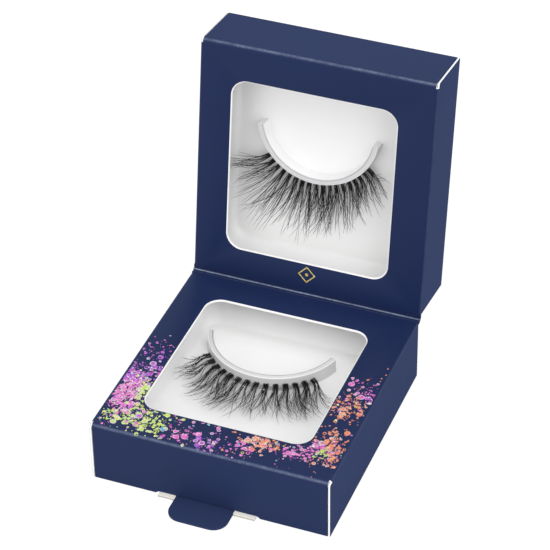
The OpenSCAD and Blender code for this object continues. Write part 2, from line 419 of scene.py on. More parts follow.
class Coat(Graph):
    """A material's node tree, with its Principled shader and the shared effects at hand."""

    def __init__(self, material: Material, effects: Effects) -> None:
        """Starts a material's tree with its shader.

        Args:
            material: The material.
            effects: The shared effects.
        """
        super().__init__(material.node_tree)
        self.effects = effects
        self.shader = self.add("BsdfPrincipled")
        self.add("OutputMaterial", {"Surface": self.shader.outputs[0]})

    def surface(self, **values: object) -> None:
        """Feeds the shader's inputs, whose names have _ here for a space."""
        self.wire(self.shader, {name.replace("_", " "): value for name, value in values.items()})

    def place(self, effect: Tree, **values: object) -> bpy.types.bpy_prop_collection:
        """Places a shared effect with values for its inputs, and gives its outputs."""
        return self.add("Group", values, node_tree=effect).outputs

    def mottle(self, scale: float, depth: float) -> bpy.types.bpy_prop_collection:
        """Places the soft mottle, and gives its outputs."""
        return self.place(self.effects.soft_mottle, Scale=scale, Depth=depth)

    def fibre(self, scale: float, stretch: Point = (1.0, 1.0, 1.0)) -> bpy.types.bpy_prop_collection:
        """Places the fibre grain, and gives its outputs."""
        return self.place(self.effects.fibre_grain, Scale=scale, Stretch=stretch)

    def press_mark(self) -> Socket:
        """How strongly the mesh takes worn print with painted highlight on creases, or stretched sheet with
        painted shade on trays, at a place.
        """
        return self.add("Attribute", attribute_name=WEAR_AND_PAINTED_LIGHT).outputs["Fac"]

    def relief(self, height: Socket, rise: float) -> None:
        """Feeds a height of some millimetres to the shader's normal."""
        bump = self.add("Bump", {"Height": height, "Distance": rise * MM, "Strength": 1.0})
        self.surface(Normal=bump.outputs[0])


@dataclass(frozen=True)
class Finish:
    """What every finish has: a name, a colour, a roughness and a gloss level."""

    name: str
    colour: Colour
    roughness: float = 0.5
    specular: float = 0.3

    def material(self, effects: Effects) -> Material:
        """Builds the material, with the surface nodes of the finish's own dress method.

        Args:
            effects: The shared effects.

        Returns:
            The new material.
        """
        made = bpy.data.materials.new(self.name)
        made.use_nodes = True
        made.diffuse_color = srgb(*self.colour)
        coat = Coat(made, effects)
        coat.surface(Base_Color=srgb(*self.colour))
        coat.surface(Roughness=self.roughness, Specular_IOR_Level=self.specular)
        self.dress(coat)
        return made

    def dress(self, coat: Coat) -> None:
        """Adds the finish's own colour and detail."""
        raise NotImplementedError

    def toned(self, coat: Coat, shade: Socket) -> Socket:
        """The colour with a mottle's shade over it."""
        return coat.mix(1.0, srgb(*self.colour), shade, "MULTIPLY")

    def varied(self, coat: Coat, value: Socket, less: float, more: float) -> Socket:
        """The roughness, varied by a mottle's value from less below to more above."""
        return coat.ramp(value, 0.3, 0.7, self.roughness - less, self.roughness + more)


@dataclass(frozen=True)
class PrintedBoard(Finish):
    """Laminated print on board: satin, a faint fibre grain, and along the creases worn print with a painted
    pale highlight.

    The soft-touch film has hardly any gloss at a low angle, only a bluish bloom.
    """

    # The paler colour along creases, for worn print and a painted highlight, and how strongly it shows.
    rubbed: Colour = (150, 160, 186)
    wear_and_highlight: float = 0.5
    mottle: float = 0.1
    grain: float = 0.006
    fleck: float = 0.06
    bloom: float = 0.15
    bloom_tint: tuple[float, ...] = (0.42, 0.56, 1.0, 1.0)
    film_tint: tuple[float, ...] = (0.68, 0.8, 1.0, 1.0)
    low_angle: Flat = (0.3, 0.68)
    low_specular: float = 0.002

    def dress(self, coat: Coat) -> None:
        """Mottles the print, lightens its creases with worn print and a painted highlight, and adds the
        grain.

        Args:
            coat: The material's tree.
        """
        toned = self.toned(coat, coat.mottle(38.0, self.mottle)["Shade"])
        fibre = coat.fibre(2100.0, (1.0, 0.7, 1.0))
        marks = {"Rubbed": srgb(*self.rubbed), "Crease": coat.press_mark(), "Amount": self.wear_and_highlight}
        facing = coat.add("LayerWeight", {"Blend": 0.5}).outputs["Facing"]
        coat.surface(
            Base_Color=coat.place(coat.effects.crease_wear, Colour=toned, **marks)["Colour"],
            Roughness=coat.maths("MULTIPLY_ADD", fibre["Mask"], self.fleck, self.roughness),
            Specular_IOR_Level=coat.ramp(facing, *self.low_angle, self.specular, self.low_specular),
            Specular_Tint=self.film_tint,
            Sheen_Weight=self.bloom,
            Sheen_Tint=self.bloom_tint,
        )
        coat.relief(fibre["Height"], self.grain)


@dataclass(frozen=True)
class RawBoard(Finish):
    """Bare board: a soft fibrous cut edge, with plies across its thickness if asked."""

    plies: bool = False
    grain: float = 0.02
    fibre: Colour = (196, 186, 168)
    seam: Colour = (150, 142, 128)
    seam_height: float = 0.25

    def dress(self, coat: Coat) -> None:
        """Tints the fibres and, on a stacked edge, draws the line between two plies.

        Args:
            coat: The material's tree.
        """
        fibre = coat.fibre(1500.0, (1.0, 2.2, 2.2))
        share = coat.ramp(fibre["Mask"], 0.0, 1.0, 0.0, 0.16)
        colour = coat.mix(share, self.toned(coat, coat.mottle(210.0, 0.08)["Shade"]), srgb(*self.fibre))
        if self.plies:
            height = coat.add("SeparateXYZ", {0: coat.here()}).outputs["Z"]
            off = coat.maths("ABSOLUTE", coat.maths("SUBTRACT", height, self.seam_height * MM))
            colour = coat.mix(coat.ramp(off, 0.015 * MM, 0.05 * MM, 0.55, 0.0), colour, srgb(*self.seam))
        coat.surface(Base_Color=colour)
        coat.relief(fibre["Height"], self.grain)


@dataclass(frozen=True)
class FormedTray(Finish):
    """White formed plastic: satin, a faint flow mottle and the mould's fine texture.

    Up the walls, and over the floor beside them, the sheet is greyed by its mark: partly a sheet stretched
    thin, partly painted shade.
    """

    drawn_and_shaded: Colour = (176, 176, 177)
    grain: float = 0.0015

    def dress(self, coat: Coat) -> None:
        """Greys the walls by their mark, for stretched sheet and painted shade, mottles colour and roughness,
        and adds a very fine texture.

        Args:
            coat: The material's tree.
        """
        mottle = coat.mottle(70.0, 0.02)
        # The sheet's colour turns towards the darker one by its mark: stretched sheet and painted shade.
        sheet = coat.mix(coat.press_mark(), srgb(*self.colour), srgb(*self.drawn_and_shaded))
        coat.surface(
            Base_Color=coat.mix(1.0, sheet, mottle["Shade"], "MULTIPLY"),
            Roughness=self.varied(coat, mottle["Value"], 0.04, 0.05),
        )
        coat.relief(coat.fibre(3200.0)["Height"], self.grain)


@dataclass(frozen=True)
class LashFibre(Finish):
    """Soft black fibre that varies a little from hair to hair."""

    brown: Colour = (34, 29, 28)

    def dress(self, coat: Coat) -> None:
        """Mixes black and a warm near-black from place to place.

        Args:
            coat: The material's tree.
        """
        value = coat.mottle(900.0, 0.3)["Value"]
        colour = coat.mix(coat.ramp(value, 0.35, 0.65), srgb(*self.colour), srgb(*self.brown))
        coat.surface(Base_Color=colour, Roughness=self.varied(coat, value, 0.06, 0.08))


@dataclass(frozen=True)
class ClearBand(Finish):
    """The clear thread that holds the clusters, a little cloudy."""

    clear: float = 0.5

    def dress(self, coat: Coat) -> None:
        """Lets part of the light through and clouds the rest."""
        toned = self.toned(coat, coat.mottle(500.0, 0.1)["Shade"])
        coat.surface(Base_Color=toned, Transmission_Weight=self.clear)


@dataclass(frozen=True)
class Foil(Finish):
    """Printed foil whose colour shifts towards a second one from fleck to fleck."""

    second: Colour = (255, 255, 255)
    metallic: float = 0.25
    painted_glint: tuple[float, ...] = (0.92, 0.92, 0.95, 1.0)
    grain: float = 0.02

    def dress(self, coat: Coat) -> None:
        """Breaks the foil into small patches of two colours, with near-white painted glints on a few small
        cells.

        Args:
            coat: The material's tree.
        """
        cells = coat.add("TexVoronoi", {"Vector": coat.here(), "Scale": 2400.0}).outputs
        share = coat.add("SeparateColor", {0: cells["Color"]}).outputs
        base = coat.mix(coat.ramp(share[0], 0.35, 0.75), srgb(*self.colour), srgb(*self.second))
        coat.surface(
            # A few small cells turn near white: painted glints.
            Base_Color=coat.mix(coat.ramp(share[1], 0.9, 0.94, 0.0, 0.5), base, self.painted_glint),
            Roughness=coat.ramp(share[2], 0.0, 1.0, self.roughness - 0.1, self.roughness + 0.15),
            Metallic=self.metallic,
        )
        coat.relief(cells["Distance"], self.grain)


FOILS = {
    "foil_violet": ((196, 92, 198), (150, 96, 196)),
    "foil_lime": ((206, 216, 96), (168, 204, 140)),
    "foil_teal": ((104, 152, 200), (150, 206, 200)),
    "foil_peach": ((222, 128, 110), (230, 162, 116)),
    "foil_pink": ((204, 92, 184), (224, 142, 200)),
    "foil_pearl": ((232, 226, 206), (214, 204, 226)),
}


class Finishes:
    """Every finish of the case, made into materials once."""

    def __init__(self) -> None:
        """Builds the materials."""
        effects = Effects()
        made = {
            "face": PrintedBoard("navy_print", (20, 34, 74), 0.42, 0.2),
            # The fold's strip: a darker copy of the print, painted shade along the fold, with its crease
            # highlight painted at full strength.
            "crease": PrintedBoard("navy_fold_print", (18, 30, 66), 0.4, 0.18, wear_and_highlight=1.0),
            # Lighter copies of the print for the far walls and the pull tab: painted light.
            "wall": PrintedBoard("navy_wall_print", (34, 46, 82), 0.44, 0.05),
            "tab": PrintedBoard("navy_tab_print", (42, 54, 90), 0.42, 0.16),
            "edge": RawBoard("cut_board_edge", (252, 252, 252), 0.8, 0.1),
            "back": RawBoard("board_inside", (232, 230, 225), 0.8, 0.1),
            "plies": RawBoard("stacked_board_edge", (248, 245, 237), 0.8, 0.1, plies=True),
            "tray": FormedTray("white_tray", (244, 244, 244), 0.42, 0.3),
            # Grey for the rib and darker grey for its groove: painted shade, with the rib partly a sheet
            # stretched thin.
            "thin": FormedTray("thin_tray_rib", (214, 214, 215), 0.42, 0.3),
            "groove": FormedTray("thin_tray_groove", (168, 168, 170), 0.42, 0.3),
            "hair": LashFibre("lash_fibre", (15, 15, 17), 0.42, 0.3),
            "band": ClearBand("clear_band", (214, 214, 216), 0.3, 0.4),
            "gold": Foil("gold_foil", (216, 190, 88), 0.35, 0.4, second=(238, 220, 140), metallic=0.4),
        }
        for key, (first, second) in FOILS.items():
            made[key] = Foil(key, first, 0.4, 0.4, second=second)
        self._made = {key: finish.material(effects) for key, finish in made.items()}

    def get(self, *keys: str) -> list[Material]:
        """The materials of these keys, in order."""
        return [self._made[key] for key in keys]


# Mesh work


class MeshDraft:
    """Collects the points and faces of one piece, in a half's own drawing."""

    def __init__(self, place: Callable[[float, float, float], Vector]) -> None:
        """Starts an empty draft whose points go through place."""
        self.place = place
        self.points: list[Vector] = []
        self.marks: list[float] = []
        self.faces: list[tuple[int, ...]] = []
        self.skins: list[int] = []

    def ring(self, points: Sequence[Point], marks: Sequence[float] | None = None) -> list[int]:
        """Adds points.

        Args:
            points: Places as (x, p, d).
            marks: For each point, from 0 to 1: on a crease, worn print with a painted highlight; on a tray,
                stretched sheet with painted shade.

        Returns:
            The numbers of the new points.
        """
        first = len(self.points)
        self.points += [self.place(*p) for p in points]
        self.marks += marks or [0.0] * len(points)
        return list(range(first, len(self.points)))

    def face(self, ids: Sequence[int], skin: int = 0) -> None:
        """Adds one face."""
        self.faces.append(tuple(ids))
        self.skins.append(skin)

    def bridge(self, first: Sequence[int], second: Sequence[int], skins: Skins = 0) -> None:
        """Joins two closed rings of the same count with quads.

        Args:
            first: The numbers of one ring.
            second: The numbers of the other.
            skins: One finish, or a finish for each quad.
        """
        count = len(first)
        for i in range(count):
            j = (i + 1) % count
            skin = skins if isinstance(skins, int) else skins[i]
            self.face((first[i], first[j], second[j], second[i]), skin)

    def stack(self, rings: Sequence[Sequence[int]], skins: Skins = 0, cap: int | None = None) -> None:
        """Joins rings in order.

        Args:
            rings: The rings, each as its numbers.
            skins: One finish, or a finish for each quad of a ring.
            cap: The finish of a face at each end, where the ends are closed.
        """
        for first, second in zip(rings, rings[1:]):
            self.bridge(first, second, skins)
        if cap is not None:
            self.face(rings[0], cap)
            self.face(rings[-1], cap)

    def build(self, name: str, materials: Sequence[Material], outward: bool = True) -> Piece:
        """Turns the draft into a smooth-shaded object with its real edges kept sharp.

        Args:
            name: The object's name.
            materials: The materials, in the order that the faces number them.
            outward: Whether the piece is closed, so that its faces are turned outwards.

        Returns:
            The new object, at the origin of the row frame.
        """
        mesh = bpy.data.meshes.new(name)
        mesh.from_pydata(self.points, [], self.faces)
        for material in materials:
            mesh.materials.append(material)
        mesh.polygons.foreach_set("material_index", self.skins)
        mesh.attributes.new(WEAR_AND_PAINTED_LIGHT, "FLOAT", "POINT").data.foreach_set("value", self.marks)
        if outward:
            work = bmesh.new()
            work.from_mesh(mesh)
            bmesh.ops.recalc_face_normals(work, faces=work.faces)
            work.to_mesh(mesh)
            work.free()
        mesh.shade_smooth()
        mesh.set_sharp_from_angle(angle=SHARP)
        mesh.update()
        made = bpy.data.objects.new(name, mesh)
        bpy.context.scene.collection.objects.link(made)
        return made


def inset(outline: Sequence[Flat], by: Sequence[float]) -> list[Flat]:
    """Moves each edge of an outline inwards by its own distance.

    Args:
        outline: The corners in order. Edge i runs from corner i to the next.
        by: The distance for each edge.

    Returns:
        The corners of the smaller outline.
    """
    edges = list(zip(outline, [*outline[1:], outline[0]]))
    turn = 1.0 if sum(a[0] * b[1] - b[0] * a[1] for a, b in edges) > 0 else -1.0
    lines = []
    for ((u, v), (next_u, next_v)), distance in zip(edges, by):
        length = math.hypot(next_u - u, next_v - v)
        nu, nv = -turn * (next_v - v) / length, turn * (next_u - u) / length
        lines.append((nu, nv, nu * u + nv * v + distance))
    corners = []
    for i, (u, v) in enumerate(outline):
        (a, b, c), (e, f, g) = lines[i - 1], lines[i]
        det = a * f - b * e
        if abs(det) < 1e-6:
            corners.append((u + e * by[i], v + f * by[i]))
        else:
            corners.append(((c * f - b * g) / det, (a * g - c * e) / det))
    return corners


def plate(
    draft: MeshDraft,
    outline: Sequence[Flat],
    lay: Lay,
    depth: float,
    bevels: Sequence[float] | float = 0.06,
    skins: tuple[Skin, Skin, Skin] = (Skin.FACE, Skin.EDGE, Skin.BACK),
    back_bevel: float = 0.05,
) -> None:
    """Adds a flat piece of board with its rims eased.

    Args:
        draft: The draft to add to.
        outline: The corners of the piece.
        lay: Places (u, v, w), where w runs from the face into the board.
        depth: The thickness.
        bevels: The rim's bevel on each edge of the outline.
        skins: The finishes of the face, the cut edge and the back.
        back_bevel: The largest bevel of the back's rim.
    """
    cuts = [bevels] * len(outline) if isinstance(bevels, float) else list(bevels)
    back = inset(outline, [min(c, back_bevel) for c in cuts])
    layers = ((inset(outline, cuts), 0.0), (outline, max(cuts)), (outline, depth - back_bevel), (back, depth))
    rings = [draft.ring([lay(u, v, w) for u, v in corners]) for corners, w in layers]
    face, edge, inside = (skin.value for skin in skins)
    draft.face(rings[0], face)
    for first, second, skin in zip(rings, rings[1:], (face, edge, inside)):
        draft.bridge(first, second, skin)
    draft.face(rings[3], inside)


def sweep(
    draft: MeshDraft,
    section: Sequence[Point],
    stations: Sequence[float],
    lay: Lay,
    skins: Sequence[int],
    cap: int = Skin.EDGE.value,
) -> None:
    """Sweeps a closed section through stations, with a cap at each end.

    Args:
        draft: The draft to add to.
        section: Corners as (u, v, mark); the mark sets worn print with painted highlight there.
        stations: Places along the sweep.
        lay: Places (u, v, station).
        skins: The finish of each edge of the section.
        cap: The finish of the end caps.
    """
    marks = [crease for _, _, crease in section]
    draft.stack([draft.ring([lay(u, v, s) for u, v, _ in section], marks) for s in stations], skins, cap)


def bead(
    draft: MeshDraft, middle: Point, radii: Point, levels: Sequence[float], count: int
) -> list[list[int]]:
    """Adds the rings of a small bead.

    Args:
        draft: The draft to add to.
        middle: Its middle as (x, p, d).
        radii: Its radii along the same three.
        levels: Degrees down from its top, for each ring.
        count: Points in a ring.

    Returns:
        The rings from the top down.
    """
    (x, p, d), (rx, rp, rd) = middle, radii
    turns = [math.tau * k / count for k in range(count)]
    return [
        draft.ring([
            (x + rx * math.sin(a) * math.cos(b), p + rp * math.sin(a) * math.sin(b), d - rd * math.cos(a))
            for b in turns
        ])
        for a in map(math.radians, levels)
    ]


def rectangle(low_u: float, low_v: float, high_u: float, high_v: float) -> list[Flat]:
    """The corners of a rectangle."""
    return [(low_u, low_v), (high_u, low_v), (high_u, high_v), (low_u, high_v)]


def rounded_tab(middle: float, half: float, root: float, end: float, r: float, corner: int) -> list[Flat]:
    """The outline of a tab with a square root and a round-cornered end.

    Args:
        middle: Its middle across.
        half: Half its width.
        root: Where it starts.
        end: Where it ends.
        r: The radius of its two outer corners.
        corner: Segments in each corner.

    Returns:
        The corners in order.
    """
    outline: list[Flat] = [(middle - half, root), (middle + half, root)]
    for sign, start in ((1, 0), (-1, 90)):
        for a in map(math.radians, steps(start, start + 90, corner)):
            outline.append((middle + sign * (half - r) + r * math.cos(a), end - r + r * math.sin(a)))
    return outline


def round_outline(half_w: float, half_l: float, r: float, corner: int, side: int = 0) -> list[Flat]:
    """A rectangle with round corners, in order, with the same count of points for any size.

    Args:
        half_w: Half the width.
        half_l: Half the length.
        r: The corner radius.
        corner: Segments in each corner.
        side: Points added along each side.

    Returns:
        The points, starting on the right at the far corner.
    """
    arcs = []
    for quarter, (sx, sy) in enumerate(((1, 1), (-1, 1), (-1, -1), (1, -1))):
        cx, cy = sx * (half_w - r), sy * (half_l - r)
        turns = [math.radians(v) for v in steps(quarter * 90, quarter * 90 + 90, corner)]
        arcs.append([(cx + r * math.cos(a), cy + r * math.sin(a)) for a in turns])
    points: list[Flat] = []
    for quarter, arc in enumerate(arcs):
        (x, y), (to_x, to_y) = arc[-1], arcs[(quarter + 1) % 4][0]
        gap = side + 1
        points += arc + [(x + (to_x - x) * k / gap, y + (to_y - y) * k / gap) for k in range(1, gap)]
    return points


def bent(r: float, thick: float, press: float = 1.0, count: int = 16) -> tuple[list[Point], list[int]]:
    """The section of a pressed bend, in (out, down) from its centre.

    Args:
        r: The outer radius.
        thick: The board's thickness.
        press: How strongly the bend takes worn print with a painted pale highlight.
        count: Segments in the bend.

    Returns:
        The section's corners with their crease marks, and the finish of each edge.
    """
    turns = steps(0, math.pi / 2, count)
    # The mark is narrow and strong along the bend's middle: worn print and a painted pale highlight.
    outer = [(r * math.sin(t), -r * math.cos(t), press * math.sin(2 * t) ** 6) for t in turns]
    small = r - thick
    inner = [(small * math.sin(t), -small * math.cos(t), 0.0) for t in steps(math.pi / 2, 0, count)]
    face, edge, back = Skin.FACE.value, Skin.EDGE.value, Skin.BACK.value
    return outer + inner, [face] * count + [edge] + [back] * count + [edge]


def dress_piece(piece: Piece, slot: str, *nodes: str) -> None:
    """Puts a piece in place of CAD nodes: it rides on their body and is reported.

    Args:
        piece: The finished piece.
        slot: The slot of its material; not used.
        *nodes: The CAD nodes that it replaces.
    """
    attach(piece, frame["nodes"][nodes[0]]["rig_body"])
    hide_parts(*nodes)
    log.info("%s: %d faces, for %s", piece.name, len(piece.data.polygons), ", ".join(nodes))


@dataclass
class CasePart:
    """What the sub-assemblies of a half have: the half's space and the finishes."""

    space: HalfSpace
    finishes: Finishes

    def __post_init__(self) -> None:
        """Starts the draft of the first piece."""
        self.draft = MeshDraft(self.space.place)

    def piece(self, name: str, finishes: Sequence[str], outward: bool = True) -> Piece:
        """Builds the draft, and starts the next one.

        Args:
            name: The piece's name.
            finishes: The keys of its finishes, in the order that its faces number them.
            outward: Whether it is closed, so that its faces are turned outwards.

        Returns:
            The new piece.
        """
        made = self.draft.build(name, self.finishes.get(*finishes), outward)
        self.draft = MeshDraft(self.space.place)
        return made

    def redress(self, name: str, finish: str) -> None:
        """Gives a node whose CAD shape is right a finish of its own.

        Args:
            name: The node, without the prefix of its half.
            finish: The key of the finish.
        """
        node = frame["nodes"][self.space.node(name)]
        node.data.materials.clear()
        node.data.materials.append(self.finishes.get(finish)[0])
        log.info("%s: CAD shape, %s finish", node.name, finish)


# The board case


@dataclass
class BoardHalf(CasePart):
    """One half of the case: the window panel, the walls and the closing flap."""

    window_bevel: float = 0.24
    window_corner: int = 12
    # How strongly the short side bends take worn print and painted highlight.
    side_wear_and_highlight: float = 0.2
    wall_bevel: float = 0.16
    rim: float = 0.05
    flap_gap: float = 0.1
    tongue_w: float = 50.0
    tongue_h: float = 8.0
    tongue_r: float = 3.0
    tongue_lean: float = 6.0
    notch_w: float = 26.4
    notch_h: float = 0.65
    notch_x: float = -0.5
    notch_slant: float = 0.9
    burr: Point = (0.25, 0.22, 0.34)
    shoulder_l: float = 1.3
    shoulder_step: float = 0.35

    def build(self) -> None:
        """Builds every board piece of the half that shows from some side or pose."""
        self.window_panel()
        self.far_wall()
        for side in Side:
            self.side_wall(side)
        self.hinge_wall()
        self.closing_flap()
        self.tongue()
        far = "front" if self.space.is_lower else "top"
        for name in ("glue_flap", f"{far}_left_tab", f"{far}_right_tab", "hinge_left_tab", "hinge_right_tab"):
            self.redress(name, "back")

    def _dress(self, name: str, finishes: Sequence[str] = ("face", "edge", "back")) -> None:
        """Builds the draft as the board of one of the half's nodes."""
        node = self.space.node(name)
        dress_piece(self.piece(f"{node}_board", finishes), "laminated_board", node)

    def window_panel(self) -> None:
        """The panel round the window with its bends, one long and two short ones."""
        s, draft = self.space.sizes, self.draft
        near, far, edge = s.web_l, s.panel_l - s.far_bend_r, s.inner_half_w
        self._framed_face(near, far)
        strip = rectangle(-s.half_w, s.strip_l, s.half_w, near)
        printed = (Skin.FACE, Skin.FACE, Skin.BACK)
        plate(draft, strip, lambda u, v, w: (u, v, w), s.board_t, [0.0, 0.02, 0.0, 0.02], printed)
        section, skins = bent(s.far_bend_r, s.board_t)
        sweep(draft, section, steps(-edge, edge, 40), lambda u, v, t: (t, far + u, s.far_bend_r + v), skins)
        section, skins = bent(s.side_bend_r, s.board_t, self.side_wear_and_highlight)
        for side in Side:

            def lay(u: float, v: float, t: float, sign: int = side.value) -> Point:
                """Lays the short bend's section along the panel's side."""
                return (sign * (edge + u), t, s.side_bend_r + v)

            sweep(draft, section, steps(near, far, 30), lay, skins)
        self._dress("window_panel")

    def _framed_face(self, near: float, far: float) -> None:
        """Adds the flat face with the window cut out and its pale cut edge.

        Args:
            near: Where the face starts, from the fold.
            far: Where it ends.
        """
        s, draft = self.space.sizes, self.draft
        half, corner, bevel = s.inner_half_w, self.window_corner, self.window_bevel
        outer = [(half, far), (-half, far), (-half, near), (half, near)]
        top, under = (draft.ring([(x, p, d) for x, p in outer]) for d in (0.0, s.board_t))
        half_w, half_l, rim, rings = s.window_w / 2, self.space.window_l / 2, 0.04, []
        back = s.board_t - rim
        cut = ((bevel, 0.0), (bevel * 0.3, bevel * 0.35), (0.0, bevel), (0.0, back), (rim, s.board_t))
        for grow, d in cut:
            shape = round_outline(half_w + grow, half_l + grow, s.window_r + grow, corner)
            rings.append(draft.ring([(x + s.window_x, y + s.window_p, d) for x, y in shape]))
        draft.stack(rings, Skin.EDGE.value)
        count = corner + 1
        for edge, ring, skin in ((top, rings[0], Skin.FACE.value), (under, rings[-1], Skin.BACK.value)):
            for q in range(4):
                start, after = q * count, (q + 1) % 4
                for k in range(start, start + corner):
                    draft.face((edge[q], ring[k], ring[k + 1]), skin)
                draft.face((edge[q], ring[start + corner], ring[after * count], edge[after]), skin)
        draft.bridge(top, under, Skin.EDGE.value)

    def far_wall(self) -> None:
        """The wall opposite the fold, with the notch for the pull tab on the lower half."""
        s = self.space.sizes
        half, top, foot = s.inner_half_w, s.far_bend_r, s.case_h
        outline = [(-half, top), (half, top), (half, foot)]
        bevels = [0.0, self.wall_bevel, self.rim]
        if self.space.is_lower:
            x, w, up, slant = self.notch_x, self.notch_w / 2, foot - self.notch_h, self.notch_slant
            outline += [(x + w, foot), (x + w - slant, up), (x - w + slant, up), (x - w, foot)]
            bevels += [self.rim] * 4
        outline.append((-half, foot))
        bevels.append(self.wall_bevel)
        plate(self.draft, outline, lambda u, v, w: (u, s.panel_l - w, v), s.board_t, bevels)
        self._dress("front_wall" if self.space.is_lower else "top_wall", ("wall", "edge", "back"))

    def side_wall(self, side: Side) -> None:
        """Builds a side wall. Its cut end shows beside the far wall, with a burr at its upper corner.

        Args:
            side: Which of the two.
        """
        s, draft = self.space.sizes, self.draft
        top, foot, near, far = s.side_bend_r, s.case_h, s.web_l, s.panel_l
        outline = [(near, top), (far - s.far_bend_r, top), (far - 0.25, top + 0.05), (far, top + 0.35)]
        outline += [(far, foot), (near, foot)]

        def lay(u: float, v: float, w: float) -> Point:
            """Lays the wall's drawing in the plane of its side."""
            return (side.value * (s.half_w - w), u, v)

        plate(draft, outline, lay, s.board_t, [0.0, 0.0, 0.04, 0.04, self.rim, self.rim])
        middle = (side.value * (s.half_w - 0.3), s.panel_l - 0.2, s.side_bend_r + 0.42)
        draft.stack(bead(draft, middle, self.burr, steps(12, 168, 8), 12), Skin.EDGE.value, Skin.EDGE.value)
        self._dress(f"{side.name.lower()}_wall")

    def hinge_wall(self) -> None:
        """The wall beside the fold."""
        s = self.space.sizes
        half, bevel = s.inner_half_w, 0.1
        outline = rectangle(-half, s.board_t, half, s.base_depth - self.flap_gap)
        plate(self.draft, outline, lambda u, v, w: (u, s.web_l + w, v), s.board_t, [0.0, bevel, bevel, bevel])
        self._dress("hinge_wall")

    def closing_flap(self) -> None:
        """The flap that closes the half, with a rounded crease and, below, the board beside the tab."""
        s, draft = self.space.sizes, self.draft
        half = s.half_w - s.board_t - 1.5 * self.flap_gap
        r = s.board_t / 2
        near, far, middle = s.web_l + r, s.panel_l - s.board_t - self.flap_gap, s.base_depth + r
        outline, bevels = rectangle(-half, near, half, far), [0.0, self.rim, 0.0, self.rim]
        plate(draft, outline, lambda u, v, w: (u, v, s.case_h - w), s.board_t, bevels)
        # The crease's marks give it worn print and a painted highlight along its middle.
        section = [(-r * math.sin(a), -r * math.cos(a), math.sin(a)) for a in steps(0, math.pi, 12)]
        skins = [Skin.FACE.value] * len(section)
        sweep(draft, section, steps(-half, half, 24), lambda u, v, t: (t, near + u, middle + v), skins)
        finishes = ["face", "edge", "back"]
        if self.space.is_lower:
            self._shoulders(far)
            finishes.append("plies")
        self._dress("base_flap" if self.space.is_lower else "back_flap", finishes)

    def _shoulders(self, root: float) -> None:
        """Adds the bare board edges on both sides of the pull tab, as two plies.

        Args:
            root: Where the flap ends, from the fold.
        """
        s, draft = self.space.sizes, self.draft
        ply, tab = s.board_t / 2, PullTab.width / 2
        span = self.notch_w / 2 - self.notch_slant - self.flap_gap / 2
        left = (self.notch_x - span, PullTab.middle - tab)
        right = (PullTab.middle + tab, self.notch_x + span)
        for low, high in (left, right):
            for depth, out in ((0.0, self.shoulder_l - self.shoulder_step), (ply, self.shoulder_l)):
                first, outline = len(draft.skins), rectangle(low, root, high, s.panel_l + out)
                inner = s.base_depth + depth
                plate(draft, outline, lambda u, v, w: (u, v, inner + w), ply - 0.01, [0.0, 0.03, 0.05, 0.03])
                draft.skins[first:] = [Skin.PLIES.value] * (len(draft.skins) - first)

    def tongue(self) -> None:
        """The tongue that tucks behind the far wall, leaning away from it."""
        s = self.space.sizes
        foot, deep = s.panel_l - s.board_t - 1.5 * self.flap_gap, s.base_depth
        lean = math.tan(math.radians(self.tongue_lean))
        outline = rounded_tab(0.0, self.tongue_w / 2, 0.0, self.tongue_h, self.tongue_r, 8)
        plate(self.draft, outline, lambda u, v, w: (u, foot - w - v * lean, deep - v), s.board_t, self.rim)
        self._dress("tuck_tongue")


@dataclass
class PullTab(CasePart):
    """The rounded thumb tab, printed on both faces."""

    width: float = 14.8
    reach: float = 7.6
    corner_r: float = 3.6
    middle: float = -1.15
    root_gap: float = 0.1

    def build(self) -> None:
        """Builds the tab in the plane of the base flap."""
        s = self.space.sizes
        root, end = s.panel_l - s.board_t - self.root_gap, s.panel_l + self.reach
        outline = rounded_tab(self.middle, self.width / 2, root, end, self.corner_r, 12)
        skins = (Skin.FACE, Skin.EDGE, Skin.FACE)
        plate(self.draft, outline, lambda u, v, w: (u, v, s.base_depth + w), s.board_t, skins=skins)
        dress_piece(self.piece("pull_tab_board", ("tab", "face")), "laminated_board", "pull_tab")


